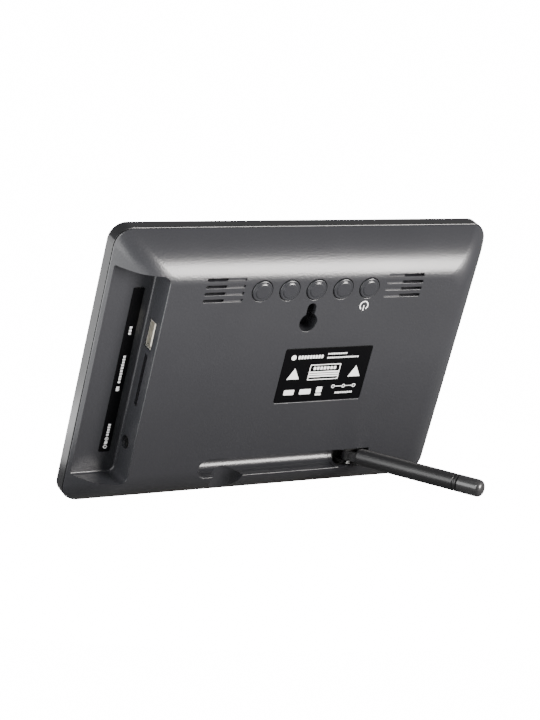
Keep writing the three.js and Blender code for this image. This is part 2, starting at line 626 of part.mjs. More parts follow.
function rearCover() {
  const outside = pillow(
    CASE_WIDTH, CASE_HEIGHT, CASE_CORNER, RIM_DEPTH, CASE_DEPTH, SLOPE_RUN);
  const cupFloor = CASE_DEPTH - KEYHOLE_CUP_DEPTH;
  const necks = buttonX.map((x) => (
    peg(x, BUTTON_HEIGHT, BUTTON_NECK + GAP, cupFloor - 2 * WALL, BACK_INSIDE)));
  const cup = cut(
    keyhole(KEYHOLE_RADIUS + CUP_SKIN, KEYHOLE_HEAD + CUP_SKIN, cupFloor - CUP_SKIN, CASE_DEPTH),
    ...necks);
  const room = cut(
    coverInside(0), recess(PORT_SKIN),
    trough(GROOVE_SKIN, CRADLE_ENDS[1] + GAP, GROOVE_END - GROOVE_RADIUS), troughEnd(GROOVE_SKIN),
    scoop(GROOVE_SKIN), cup);
  const lipInset = WALL + GAP;
  const lipOutline = (inset) => roundedRect(
    0, MIDDLE, CASE_WIDTH - 2 * inset, CASE_HEIGHT - 2 * inset, CASE_CORNER - inset);
  const lipShape = lipOutline(lipInset);
  lipShape.holes.push(lipOutline(lipInset + LIP_THICKNESS));
  const lip = slab(lipShape, SEAM_DEPTH - LIP_REACH, RIM_DEPTH + 1.8, 2);
  const snaps = SNAP_PLACES.flatMap((x) => [-1, 1].map((side) => {
    const face = MIDDLE + side * (CASE_HEIGHT / 2 - lipInset);
    const half = SNAP_LENGTH / 2;
    return block(x - half, x + half, SNAP_FRONT, SNAP_BACK, face - SNAP_HEIGHT, face + SNAP_HEIGHT);
  }));
  const rootDepth = BACK_INSIDE + 0.5;
  const bosses = [
    ...MAIN_BOARD_SCREWS.map(([x, z]) => peg(x, z, 2.6, MAIN_BOARD_BACK + 0.1, rootDepth)),
    ...KEY_BOARD_SCREWS.map((x) => (
      peg(x, KEY_SCREW_HEIGHT, 1.8, KEY_BOARD_BACK + 0.1, rootDepth))),
    ...CRADLE_SCREWS.map(([x, z]) => (
      peg(x, z, 2.4, CRADLE_EAR_DEPTH + CRADLE_EAR + 0.1, rootDepth))),
  ];
  const fences = [-1, 1].map(speakerFence);
  const shell = join(cut(outside, room), lip, ...snaps, ...bosses, ...fences);

  const screwPilots = [
    ...MAIN_BOARD_SCREWS.map(([x, z]) => peg(x, z, SCREW_HOLE, MAIN_BOARD_BACK - 1, rootDepth)),
    ...KEY_BOARD_SCREWS.map((x) => (
      peg(x, KEY_SCREW_HEIGHT, SCREW_HOLE, KEY_BOARD_BACK - 1, KEY_BOARD_BACK + 4))),
    ...CRADLE_SCREWS.map(([x, z]) => peg(x, z, SCREW_HOLE, CRADLE_EAR_DEPTH, rootDepth)),
  ];
  const holeFront = BUTTON_SKIRT - BUTTON_TRAVEL - 0.2;
  const buttonHoles = buttonX.map((x) => (
    peg(x, BUTTON_HEIGHT, BUTTON_RADIUS + GAP, holeFront, CASE_DEPTH + 1, 28)));
  const labelPocket = slab(
    roundedRect(...RATING_PLACE, RATING_SIZE[0] + 0.4, RATING_SIZE[1] + 0.4, 1.2),
    CASE_DEPTH - LABEL_POCKET, CASE_DEPTH + 1);
  const pocket = atHinge(block(
    POCKET_ENDS[0] - HINGE_X, CRADLE_ENDS[1] + 1 - HINGE_X, -1, 14, -GROOVE_RADIUS, GROOVE_RADIUS));
  const pocketSquare = block(
    POCKET_ENDS[0], CRADLE_ENDS[1] + 1, HINGE_DEPTH, HINGE_DEPTH + 10,
    HINGE_HEIGHT - GROOVE_RADIUS, HINGE_HEIGHT);
  const geometry = cut(
    shell, recess(0), trough(0, CRADLE_ENDS[1], GROOVE_END - GROOVE_RADIUS), troughEnd(0), scoop(0),
    pocket, pocketSquare, labelPocket, ...screwPilots, ...buttonHoles, ...grilleSlots(),
    ...portHoles(),
    keyhole(KEYHOLE_RADIUS, KEYHOLE_NARROW, cupFloor, CASE_DEPTH + 1),
    keyhole(KEYHOLE_RADIUS, KEYHOLE_HEAD, cupFloor, BACK_INSIDE));
  return piece('rear_cover', geometry, FINISH.satinGraphite);
}

function labels() {
  const back = CASE_DEPTH - LABEL_POCKET + 0.1;
  const rating = slab(roundedRect(...RATING_PLACE, ...RATING_SIZE, 1), back, back + LABEL_THICKNESS);
  const front = PORT_FLOOR + 0.1;
  const port = slab(
    roundedRect(...PORT_LABEL_PLACE, PORT_LABEL_WIDTH, PORT_LABEL_HEIGHT, 0.6),
    front, front + LABEL_THICKNESS);
  return [
    piece('rating_label', rating, FINISH.label),
    piece('port_label', port, FINISH.label),
  ];
}

// ---- Buttons and key board ----------------------------------------------------------------

const BUTTON_NAMES = ['menu', 'previous', 'select', 'next', 'power'];

// A round cap with a rounded rim and a dished middle, ears that keep it in the cover, and a stem.
function button(name, x) {
  const top = CASE_DEPTH + BUTTON_RISE;
  const skirt = BUTTON_SKIRT;
  const cap = turned([
    [0, skirt],
    [BUTTON_RADIUS, skirt],
    [BUTTON_RADIUS, top - 0.7],
    [BUTTON_RADIUS - 0.2, top - 0.25],
    [BUTTON_RADIUS - 0.7, top],
    [BUTTON_RADIUS - 1.3, top - 0.1],
    [BUTTON_RADIUS - 2.2, top - 0.45],
    [0, top - 0.7],
  ], 28);
  const neck = peg(0, 0, BUTTON_NECK, BUTTON_FLANGE_BACK - 1, skirt + 0.3);
  const ears = block(-6.2, 6.2, BUTTON_FLANGE_BACK - 1, BUTTON_FLANGE_BACK, -2.2, 2.2);
  const stem = peg(0, 0, 1.4, STEM_END, BUTTON_FLANGE_BACK - 0.5, 16);
  const mesh = piece(`button_${name}`, join(cap, neck, ears, stem), FINISH.buttonGraphite);
  mesh.position.set(x, 0, BUTTON_HEIGHT);
  return mesh;
}

function tactSwitch(name, x) {
  const half = SWITCH_SIZE / 2;
  const front = KEY_BOARD_BACK + 0.1;
  const top = KEY_BOARD_BACK + SWITCH_DEPTH;
  const body = block(-half, half, front, top - 0.9, -half, half);
  const plunger = peg(0, 0, 1.7, top - 1.2, top, 16);
  const mesh = piece(`switch_${name}`, join(body, plunger), FINISH.blackPlastic);
  mesh.position.set(x, 0, BUTTON_HEIGHT);
  return mesh;
}

function keyBoard() {
  const half = (BUTTON_COUNT - 1) / 2 * BUTTON_PITCH + 5.5;
  const low = BUTTON_HEIGHT - 6.2;
  const plain = slab(
    roundedRect(0, low + 5.5, 2 * half, 11, 0.8), KEY_BOARD_FRONT, KEY_BOARD_BACK);
  const holes = KEY_BOARD_SCREWS.map((x) => (
    peg(x, KEY_SCREW_HEIGHT, SCREW_HOLE, KEY_BOARD_FRONT - 1, KEY_BOARD_BACK + 1)));
  return piece('key_board', cut(plain, ...holes), FINISH.circuitBoard);
}

function controls() {
  const group = new THREE.Group();
  buttonX.forEach((x, i) => {
    group.add(button(BUTTON_NAMES[i], x), tactSwitch(BUTTON_NAMES[i], x));
  });
  group.add(keyBoard());
  KEY_BOARD_SCREWS.forEach((x, i) => {
    group.add(screw(`key_board_screw_${i + 1}`, x, KEY_SCREW_HEIGHT, KEY_BOARD_FRONT - 0.1, 4.5));
  });
  const boardFront = MAIN_BOARD_DEPTH - 0.7;
  const cable = ribbon([
    [KEY_BOARD_FRONT - 0.4, BUTTON_HEIGHT - 1],
    [KEY_BOARD_FRONT - 0.4, BUTTON_HEIGHT - 6],
    [(KEY_BOARD_FRONT + boardFront) / 2, BUTTON_HEIGHT - 10.5],
    [boardFront, MAIN_BOARD.high - 3],
    [boardFront, MAIN_BOARD.high - 8],
  ], 0.4, 25.5, 31.5);
  group.add(piece('key_cable', cable, FINISH.ribbonGrey));
  return group;
}

// ---- Speakers -----------------------------------------------------------------------------

function speaker(word, side) {
  const group = new THREE.Group();
  const x = side * (GRILLE_NEAR + GRILLE_FAR) / 2;
  const length = SPEAKER_LENGTH;
  const height = SPEAKER_HEIGHT;
  const back = BACK_INSIDE - SPEAKER_STANDOFF;
  const front = back - SPEAKER_DEPTH;
  const outline = roundedRect(x, GRILLE_HEIGHT, length, height, SPEAKER_CORNER);
  const basket = slab(outline, front + 1.5, back, FINE_STEPS);
  const magnet = peg(x, GRILLE_HEIGHT, 5.5, front - 1, front + 2, 24);
  const rim = 1.2;
  const mouthOutline = roundedRect(
    x, GRILLE_HEIGHT, length - 2 * rim, height - 2 * rim, SPEAKER_CORNER - rim);
  const mouth = slab(mouthOutline, back - 2, back + 1, FINE_STEPS);
  group.add(piece(`speaker_${word}_basket`, cut(join(basket, magnet), mouth), FINISH.blackPlastic));
  const cone = turned([
    [0, back - 1.7],
    [5.2, back - 1.7],
    [5.2, back - 1.2],
    [4.4, back - 0.7],
    [3, back - 1.2],
    [0, back - 0.8],
  ], 24);
  const coneMesh = piece(`speaker_${word}_cone`, cone, FINISH.paperCone);
  coneMesh.position.set(x, 0, GRILLE_HEIGHT);
  group.add(coneMesh);
  return group;
}

function speakerLeads() {
  const depth = BACK_INSIDE - SPEAKER_STANDOFF - SPEAKER_DEPTH - 2;
  const low = GRILLE_HEIGHT - 5;
  const boardEdge = MAIN_BOARD.high - 4;
  const boardFront = MAIN_BOARD_DEPTH - 1;
  const left = lead([
    [50, depth, low], [50, depth, low - 6], [46, depth + 1, boardEdge + 3],
    [44, boardFront, boardEdge],
  ], 0.6);
  const right = lead([
    [-44, depth, low], [-40, 10, low - 6], [-15, 10, 101], [8, 10, 100],
    [19, 11.5, boardEdge + 2.5], [24, boardFront, boardEdge],
  ], 0.6);
  return [
    piece('speaker_left_lead', left, FINISH.blackPlastic),
    piece('speaker_right_lead', right, FINISH.blackPlastic),
  ];
}

// ---- Main board and its sockets -----------------------------------------------------------

function mainBoard() {
  const { left, right, low, high } = MAIN_BOARD;
  const plain = block(left, right, MAIN_BOARD_DEPTH, MAIN_BOARD_BACK, low, high);
  const holes = MAIN_BOARD_SCREWS.map(([x, z]) => (
    peg(x, z, SCREW_HOLE, MAIN_BOARD_DEPTH - 1, MAIN_BOARD_BACK + 1)));
  return piece('main_board', cut(plain, ...holes), FINISH.circuitBoard);
}

function chip(name, x, z, width, height, thickness, look = FINISH.chip) {
  const front = PART_BACK - thickness;
  return piece(name, slab(roundedRect(x, z, width, height, 0.4), front, PART_BACK), look);
}

function can(name, x, z, radius, thickness, look) {
  return piece(name, peg(x, z, radius, PART_BACK - thickness, PART_BACK, 24), look);
}

function usbSocket() {
  const [long, deep] = USB_SIZE;
  const left = PORT_WALL - 14.5;
  const right = PORT_WALL - 0.4;
  const half = long / 2;
  const front = PART_BACK - deep;
  const shell = block(left, right, front, PART_BACK, USB_HEIGHT - half, USB_HEIGHT + half);
  const wall = 0.4;
  const mouth = block(
    left + 1, right + 1, front + wall, PART_BACK - wall, USB_HEIGHT - half + wall,
    USB_HEIGHT + half - wall);
  const tongueBack = PART_BACK - wall - 0.3;
  const tongue = block(
    left + 1.2, right - 0.8, tongueBack - 1.9, tongueBack, USB_HEIGHT - 5.6, USB_HEIGHT + 5.6);
  return [
    piece('usb_shell', cut(shell, mouth), FINISH.steel),
    piece('usb_tongue', tongue, FINISH.socketWhite),
  ];
}

function cardSocket() {
  const [slotLong, slotDeep] = CARD_SLOT;
  const right = PORT_WALL - PORT_SKIN - GAP;
  const left = right - 26;
  const half = slotLong / 2;
  const front = CARD_DEPTH - slotDeep / 2;
  const back = CARD_DEPTH + slotDeep / 2;
  const body = block(
    left, right, front - 0.5, PART_BACK, CARD_HEIGHT - half - 1.2, CARD_HEIGHT + half + 1.2);
  const slot = block(left + 2, right + 1, front, back, CARD_HEIGHT - half, CARD_HEIGHT + half);
  return piece('card_socket', cut(body, slot), FINISH.blackPlastic);
}

function dcJack() {
  const right = PORT_WALL - PORT_SKIN - GAP;
  const left = right - 13;
  const depth = PART_BACK - 3.45;
  const body = block(left, right, depth - 3.45, PART_BACK, DC_HEIGHT - 4.5, DC_HEIGHT + 4.5);
  const bore = crossPeg(depth, DC_HEIGHT, DC_BORE, left + 3, right + 1);
  const pin = crossPeg(depth, DC_HEIGHT, 0.85, left + 3.2, right - 1, 16);
  return [
    piece('dc_jack_body', cut(body, bore), FINISH.blackPlastic),
    piece('dc_jack_pin', pin, FINISH.steel),
  ];
}

function displayFlex() {
  const boardFront = MAIN_BOARD_DEPTH - 0.35;
  const trayBack = DISPLAY_BACK + 0.3;
  const strip = ribbon([
    [trayBack, 92], [trayBack, 80], [trayBack + 1.5, 72], [trayBack + 6, 69],
    [boardFront - 1.5, 72], [boardFront, 79], [boardFront, 84],
  ], 0.3, 24, 42);
  return piece('display_flex', strip, FINISH.polyimide);
}

function electronics() {
  const group = new THREE.Group();
  group.add(mainBoard(), ...usbSocket(), cardSocket(), ...dcJack(), displayFlex());
  group.add(chip('processor', 31, 55, 14, 14, 1.2));
  group.add(chip('memory_chip', 31, 39.5, 18, 8, 1.1));
  group.add(chip('flash_chip', 41.6, 47.5, 5.2, 6, 1.4));
  group.add(chip('audio_amplifier', 53, 94, 8, 5, 1.4));
  group.add(chip('power_inductor', 50, 40, 6, 6, 3, FINISH.ceramic));
  group.add(chip('crystal', 21, 64, 3.2, 8, 1.8, FINISH.aluminium));
  group.add(can('capacitor_input', 52.5, 31.6, 2.5, 5.4, FINISH.aluminium));
  group.add(can('capacitor_output', 43, 36, 2.5, 5.4, FINISH.aluminium));
  MAIN_BOARD_SCREWS.forEach(([x, z], i) => {
    group.add(screw(`main_board_screw_${i + 1}`, x, z, MAIN_BOARD_DEPTH - 0.1, 2.8));
  });
  return group;
}

// ---- Leg and hinge ------------------------------------------------------------------------

// The hinge block behind the cover: a pocket with two cheeks that hold the pin.
function legCradle() {
  const { reach, front } = CRADLE_BODY;
  const left = CRADLE_ENDS[0] - HINGE_X;
  const right = CRADLE_ENDS[1] - HINGE_X;
  const half = GROOVE_RADIUS;
  const body = atHinge(block(left, right, front, 6, -reach, reach));
  const pocket = atHinge(block(
    POCKET_ENDS[0] - HINGE_X, right + 1, -CHEEK_RADIUS - 0.4, 14, -half, half));
  const legRoom = trough(0, HINGE_X, CRADLE_ENDS[1] + 1);
  const cheeks = [-1, 1].map((side) => {
    const inner = EYE_HALF + GAP;
    const thickness = half + 0.5 - inner;
    const round = uprightPeg(0, 0, CHEEK_RADIUS, -thickness / 2, thickness / 2);
    const foot = block(-CHEEK_RADIUS, CHEEK_RADIUS, -6, 0, -thickness / 2, thickness / 2);
    const cheek = join(round, foot);
    cheek.translate(0, 0, side * (inner + thickness / 2));
    return atHinge(cheek);
  });
  const pinHole = atHinge(uprightPeg(0, 0, PIN_RADIUS + PIN_CLEARANCE, -half - 0.2, reach + 3, 20));
  const [sideScrew, topScrew] = CRADLE_SCREWS;
  const earBack = CRADLE_EAR_DEPTH + CRADLE_EAR;
  const ears = [
    block(sideScrew[0] - 3.2, CRADLE_ENDS[0] + 1, CRADLE_EAR_DEPTH, earBack,
      sideScrew[1] - 3.2, sideScrew[1] + 3.2),
    block(topScrew[0] - 3.2, topScrew[0] + 3.2, CRADLE_EAR_DEPTH, earBack,
      HINGE_HEIGHT + reach - 1, topScrew[1] + 3.2),
  ];
  const earHoles = CRADLE_SCREWS.map(([x, z]) => (
    peg(x, z, SCREW_HOLE, CRADLE_EAR_DEPTH - 1, earBack + 1)));
  const hollow = cut(join(body, ...ears), pocket, legRoom);
  const geometry = common(cut(join(hollow, ...cheeks), pinHole, ...earHoles), coverInside(GAP));
  return piece('leg_cradle', geometry, FINISH.blackPlastic);
}

// The leg is drawn along +y from the hinge pin, and the pin along z.
function legBarrel() {
  const ring = LEG_CAP_START - 2.1;
  const rod = turned([
    [0, LEG_ROOT],
    [LEG_RADIUS - 0.3, LEG_ROOT],
    [LEG_RADIUS, LEG_ROOT + 0.3],
    [LEG_RADIUS, ring],
    [LEG_RADIUS - 0.4, ring + 0.3],
    [LEG_RADIUS - 0.4, ring + 0.6],
    [LEG_RADIUS, ring + 0.9],
    [LEG_RADIUS, LEG_CAP_START - 0.4],
    [LEG_RADIUS - 0.3, LEG_CAP_START - 0.1],
    [2.5, LEG_CAP_START - 0.1],
    [2.5, LEG_CAP_START + 6],
    [0, LEG_CAP_START + 6],
  ]);
  const eye = uprightPeg(0, 0, EYE_RADIUS, -EYE_HALF, EYE_HALF, 24);
  const neck = block(-2.7, 2.7, 0, LEG_ROOT + 1, -EYE_HALF, EYE_HALF);
  const hole = uprightPeg(0, 0, PIN_RADIUS + PIN_CLEARANCE, -EYE_HALF - 1, EYE_HALF + 1, 20);
  return piece('leg_barrel', cut(join(rod, eye, neck), hole), FINISH.satinGraphite);
}

function legCap() {
  const start = LEG_CAP_START + 0.2;
  const round = [0, 1, 2, 3, 4].map((i) => {
    const angle = i / 4 * Math.PI / 2;
    return [
      LEG_RADIUS - LEG_END_ROUND * (1 - Math.cos(angle)),
      LEG_LENGTH + LEG_END_ROUND * Math.sin(angle),
    ];
  });
  const cap = turned([
    [2.8, start],
    [LEG_RADIUS - 0.3, start],
    [LEG_RADIUS, start + 0.3],
    ...round,
    [0, LEG_LENGTH + LEG_END_ROUND],
    [0, LEG_CAP_START + 6.3],
    [2.8, LEG_CAP_START + 6.3],
    [2.8, start],
  ]);
  return piece('leg_tip', cap, FINISH.rubber);
}

function leg() {
  const group = new THREE.Group();
  const across = new THREE.Vector3().crossVectors(legStanding, hingeAxis);
  group.matrix.makeBasis(across, legStanding, hingeAxis);
  group.matrix.setPosition(hingePoint);
  group.matrix.decompose(group.position, group.quaternion, group.scale);
  group.add(legBarrel(), legCap());
  return group;
}

function hingePin() {
  const low = -GROOVE_RADIUS;      // it ends inside the lower cheek, under the cover's slope
  const high = CRADLE_BODY.reach - 0.4;
  const geometry = atHinge(uprightPeg(0, 0, PIN_RADIUS, low, high, 20));
  return piece('hinge_pin', geometry, FINISH.steel);
}

// ---- Assembly -----------------------------------------------------------------------------

const frame = new THREE.Group();
frame.add(display(), rearCover(), ...labels(), controls());
frame.add(speaker('left', 1), speaker('right', -1), ...speakerLeads());
frame.add(electronics());
frame.add(legCradle(), hingePin(), leg());
CRADLE_SCREWS.forEach(([x, z], i) => {
  frame.add(screw(`cradle_screw_${i + 1}`, x, z, CRADLE_EAR_DEPTH - 0.1, 4.5));
});
frame.rotation.x = -LEAN;

const group = new THREE.Group();
group.add(frame);
group.updateMatrixWorld(true);
const footprint = new THREE.Box3().setFromObject(group, true);
const middle = footprint.getCenter(new THREE.Vector3());
frame.position.set(-middle.x, -middle.y, -footprint.min.z);

export default group;
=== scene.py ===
"""Digital photo frame: fine surfaces, finishes, floor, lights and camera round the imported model."""

import json

import bpy
import numpy as np
from mathutils import Matrix, Vector


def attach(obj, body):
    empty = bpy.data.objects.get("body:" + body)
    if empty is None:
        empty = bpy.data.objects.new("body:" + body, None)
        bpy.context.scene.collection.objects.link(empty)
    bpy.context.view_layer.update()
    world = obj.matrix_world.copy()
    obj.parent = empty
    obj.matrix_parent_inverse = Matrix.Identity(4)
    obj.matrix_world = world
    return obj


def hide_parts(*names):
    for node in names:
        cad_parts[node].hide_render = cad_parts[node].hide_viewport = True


bl_info = {
    "name": "Digital Photo Frame",
    "version": (1, 0, 0),
    "blender": (4, 5, 0),
    "location": "View3D > Sidebar > Photo Frame",
    "description": "Fine surfaces, finishes, floor, lights and camera of a digital photo frame",
    "category": "Object",
}

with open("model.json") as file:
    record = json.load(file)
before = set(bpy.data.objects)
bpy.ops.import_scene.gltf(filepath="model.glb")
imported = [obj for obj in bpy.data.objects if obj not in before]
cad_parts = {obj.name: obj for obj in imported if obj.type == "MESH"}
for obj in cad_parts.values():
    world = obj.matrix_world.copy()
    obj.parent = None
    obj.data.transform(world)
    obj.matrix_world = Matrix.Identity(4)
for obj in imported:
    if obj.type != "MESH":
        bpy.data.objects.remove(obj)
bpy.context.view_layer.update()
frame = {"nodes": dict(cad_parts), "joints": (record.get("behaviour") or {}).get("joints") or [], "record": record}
RECORD = frame["record"]

MM = 0.001
SHARPEST = 0.02      # mm, the least radius that a corner is given
CORE = 0.3           # mm, radius of the small flat that closes the end of a turned form
MOUNTS = {mount["name"]: mount for mount in RECORD["mounts"]}
OUT = np.array(MOUNTS["back_face"]["axis"], float)       # out of the back of the case
UP = -np.array(MOUNTS["bottom_face"]["axis"], float)     # up the case, along its lean
LEG_JOINT = next(j for j in frame["joints"] if j["name"] == "leg_swing")
BUTTONS = ("menu", "previous", "select", "next", "power")


# ---- The case's own axes ---------------------------------------------------------------------

def vertices_of(node):
    """The points of a CAD node, in metres."""
    mesh = frame["nodes"][node].data
    points = np.empty(len(mesh.vertices) * 3, np.float32)
    mesh.vertices.foreach_get("co", points)
    return points.reshape(-1, 3).astype(float)


def along_case(points):
    """Millimetres across, out of the back and up the case: dot products with the case's axes."""
    return np.stack([points[:, 0], points @ OUT, points @ UP], axis=-1) / MM


BEZEL = along_case(vertices_of("front_bezel"))
START = np.array([0.0, BEZEL[:, 1].min(), BEZEL[:, 2].min()])


def extent(node):
    """Lowest and highest corner of a CAD node across, out of the back and up the case, in mm."""
    points = along_case(vertices_of(node)) - START
    return points.min(axis=0), points.max(axis=0)


def in_frame(points):
    """Turns (across, depth, height) in mm into metres: each times its axis, from the case's foot."""
    points = np.asarray(points, float) + START
    across = points[..., :1] * np.array([1.0, 0.0, 0.0])
    return (across + points[..., 1:2] * OUT + points[..., 2:3] * UP) * MM


CASE_LOW, CASE_HIGH = extent("front_bezel")
COVER_LOW, COVER_HIGH = extent("rear_cover")
CASE_WIDTH = CASE_HIGH[0] - CASE_LOW[0]
CASE_HEIGHT = CASE_HIGH[2] - CASE_LOW[2]
CASE_DEPTH = COVER_HIGH[1]
BEZEL_DEPTH = CASE_HIGH[1]
MIDDLE = CASE_HEIGHT / 2


# ---- Sizes and colours a user would change ---------------------------------------------------

def length(name, description, default, low=0.0, high=200.0):
    """A size in millimetres."""
    return bpy.props.FloatProperty(
        name=name, description=description + ", mm", default=default, min=low, max=high)


def colour(name, description, default):
    """A colour as red, green and blue."""
    return bpy.props.FloatVectorProperty(
        name=name, description=description, default=default, size=3, subtype="COLOR", min=0, max=1)


def share(name, description, default, high=1.0):
    """A plain number from nothing to its limit."""
    return bpy.props.FloatProperty(
        name=name, description=description, default=default, min=0, max=high)


def watts(name, description, default):
    """The power of a light."""
    return bpy.props.FloatProperty(
        name=name, description="Power of the " + description, default=default, unit="POWER")


class CaseSizes(bpy.types.PropertyGroup):
    corner: length("Corner", "Radius of the case's corners", 8)
    slope_run: length("Slope", "From the case's edge in to where the back is flat", 20)
    rim_depth: length("Rim", "Front plane to the rear cover's rim", 7.22)
    wall: length("Wall", "Thickness of the cover", 2)
    rim_wall: length("Rim wall", "Thickness of the cover at its rim", 2.38)
    front_edge: length("Front edge", "Rounding round the front face", 1.2)
    window_wide: length("Window width", "Width of the screen window", 155.2)
    window_tall: length("Window height", "Height of the screen window", 87.2)
    window_edge: length("Window edge", "Bevel round the screen window", 0.7)
    button_hole: length("Button hole", "Radius of the holes for the buttons", 5.25)
    edge_round: length("Edge rounding", "Rounding of the edges of the hollows in the back", 0.6)
    fine_round: length("Fine rounding", "Rounding of the small openings' edges", 0.2)


class BackSizes(bpy.types.PropertyGroup):
    port_wall: length("Socket wall", "Middle line to the wall that holds the sockets", 74.4)
    port_floor: length("Recess floor", "Depth of the socket recess's floor", 9.2)
    port_low: length("Recess low end", "Height of the recess's low end", 15.3)
    port_high: length("Recess high end", "Height of the recess's high end", 118.3)
    port_corner: length("Recess corner", "Radius of the recess's corners", 3.5)
    port_skin: length("Recess skin", "Thickness of the recess's walls", 1.6)
    port_cove: length("Recess cove", "Rounding at the foot of the recess's walls", 0.9)
    keyhole_height: length("Keyhole height", "Height of the keyhole's wide end", 94.1)
    keyhole_rise: length("Keyhole rise", "Wide end to narrow end", 7.4)
    keyhole_wide: length("Keyhole wide end", "Radius of the wide end", 4.5)
    keyhole_narrow: length("Keyhole narrow end", "Radius of the narrow end", 2.2)
    keyhole_cup: length("Keyhole cup", "Flat back to the floor of the cup", 7.9)
    cup_room: length("Cup room", "How far the cup reaches round the narrow end", 1.2)
    cup_wall: length("Cup wall", "Thickness of its wall round the wide end", 1.3)
    cup_thin_wall: length("Cup thin wall", "Thickness of its wall round the narrow end", 1)
    cup_floor: length("Cup floor", "Thickness of its floor", 1.2)
    grille_near: length("Grille near end", "Middle line to the grille's near end", 37)
    grille_far: length("Grille far end", "Middle line to the grille's far end", 56.8)
    grille_open: share("Grille opening", "Share of each slot that goes right through", 0.55)
    grille_pitch: length("Grille pitch", "From slot to slot", 3.37)
    grille_slot: length("Grille slot", "Height of a slot", 1.4)
    grille_height: length("Grille height", "Height of the grilles' middle", 111.5)
    groove_radius: length("Groove radius", "Radius of the leg's groove", 4.5)
    groove_end: length("Groove end", "Middle line to the groove's free end", 38)
    groove_mouth: length("Groove mouth", "Flat back to the groove's lower edge, on the slope", 0.72)
    groove_skin: length("Groove skin", "Thickness of the groove's and the scoop's walls", 1.5)
    pocket_left: length("Pocket left", "Left end of the hinge pocket", -52.4, -200)
    pocket_right: length("Pocket right", "Right end of the hinge pocket", -38.4, -200)
    rib_width: length("Rib width", "Width of the low rib across the groove's hinge end", 2.1)
    rib_rise: length("Rib rise", "How far the rib stands out of the groove", 0.2)
    scoop_across: length("Scoop place", "Middle line to the finger scoop", 21.8)
    scoop_radius: length("Scoop radius", "Radius of the finger scoop", 8)
    scoop_axis: length("Scoop axis", "How far the scoop's axis lies outside the back", 0.4)
    scoop_low: length("Scoop low end", "Height at which the scoop leaves the case", 5.3)


class LegSizes(bpy.types.PropertyGroup):
    radius: length("Radius", "Radius of the leg", 4.1)
    length: length("Length", "Hinge pin to the middle of the tip's rounding", 67.6)
    root: length("Root", "Hinge pin to where the full round starts", 5.2)
    cap_start: length("Cap start", "Hinge pin to the cap", 58)
    end_round: length("End rounding", "Radius of the tip's edge", 2.6)
    eye_radius: length("Eye radius", "Radius of the hinge eye", 3.4)
    eye_half: length("Eye half thickness", "Half the hinge eye's thickness", 2.2)
    bore: length("Bore", "Radius of the eye's hole", 1.4)
    neck_tall: length("Neck", "Height of the neck between eye and leg", 5.4)
    ring_depth: length("Ring depth", "Depth of the ring groove beside the cap", 0.45)


class PrintSizes(bpy.types.PropertyGroup):
    ink: length("Ink", "Thickness of the white print", 0.03)
    standby_across: length("Standby sign across", "Middle line to the standby sign", -27.6, -200)
    standby_height: length("Standby sign height", "Height of the standby sign", 101.8)
    standby_radius: length("Standby sign radius", "Radius of its ring", 2.05)
    stroke: length("Stroke", "Width of its lines", 0.5)
    margin: length("Margin", "From the rating label's end to its print", 1.2)


class Finishes(bpy.types.PropertyGroup):
    cover: colour("Cover", "Satin graphite of the rear cover", (0.022, 0.0226, 0.0255))
    button: colour("Buttons", "Satin graphite of the buttons", (0.022, 0.0226, 0.0255))
    bezel: colour("Bezel", "Gloss black of the bezel", (0.012, 0.012, 0.013))
    leg: colour("Leg", "Satin plastic of the leg", (0.018, 0.018, 0.0192))
    tip: colour("Tip", "Rubber of the leg's tip", (0.022, 0.022, 0.023))
    label: colour("Labels", "Black of the labels", (0.002, 0.002, 0.0024))
    ink: colour("Ink", "White of the print", (0.85, 0.85, 0.85))
    cover_roughness: share("Cover roughness", "Roughness of the rear cover", 0.3)
    grain: share("Grain", "Strength of the moulded grain", 0.7)


class StageSettings(bpy.types.PropertyGroup):
    floor: colour("Floor", "Pale floor", (0.3, 0.3, 0.3))
    floor_radius: bpy.props.FloatProperty(
        name="Floor radius", description="Radius of the floor", default=0.3, unit="LENGTH")
    lens: bpy.props.FloatProperty(
        name="Lens", description="Focal length, mm", default=109.102, min=10)
    surround: share("Surround", "Brightness of the studio round the object", 0.28, 10)
    backdrop: share("Backdrop", "Brightness of what stands behind the object", 16, 100)
    key_colour: colour("Key colour", "Colour of the large soft light", (1.0, 0.965, 0.94))
    key: watts("Key light", "large soft light", 122)
    wall: watts("Wall light", "bright wall behind the object", 13)
    side: watts("Side light", "light on the side of the sockets", 20)
    rim: watts("Rim light", "light that runs along the case's near side", 14)
    table: watts("Table light", "white table beside the sockets", 2.6)
    glint: watts("Glint light", "small light that gives the edges their glints", 6)
    top: watts("Top light", "light overhead", 1)


# ---- Surfaces --------------------------------------------------------------------------------

def put_in_mesh(name, points, faces, body=None):
    """Makes an object of points in metres; a shell that encloses less than nothing is turned."""
    mesh = bpy.data.meshes.new(name)
    mesh.from_pydata(points.reshape(-1, 3).tolist(), [], faces)
    mesh.update()
    piece = bpy.data.objects.new(name, mesh)
    bpy.context.scene.collection.objects.link(piece)
    if enclosed(mesh) < 0:
        mesh.flip_normals()
    if body:
        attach(piece, body)
    return piece


def enclosed(mesh):
    """Volume: a sixth of the sum over triangles of corner dot (corner cross corner)."""
    mesh.calc_loop_triangles()
    corners = np.empty(len(mesh.loop_triangles) * 3, np.int32)
    mesh.loop_triangles.foreach_get("vertices", corners)
    points = np.empty(len(mesh.vertices) * 3, np.float32)
    mesh.vertices.foreach_get("co", points)
    a, b, c = points.reshape(-1, 3)[corners.reshape(-1, 3)].transpose(1, 0, 2).astype(float)
    return float((a * np.cross(b, c)).sum() / 6)


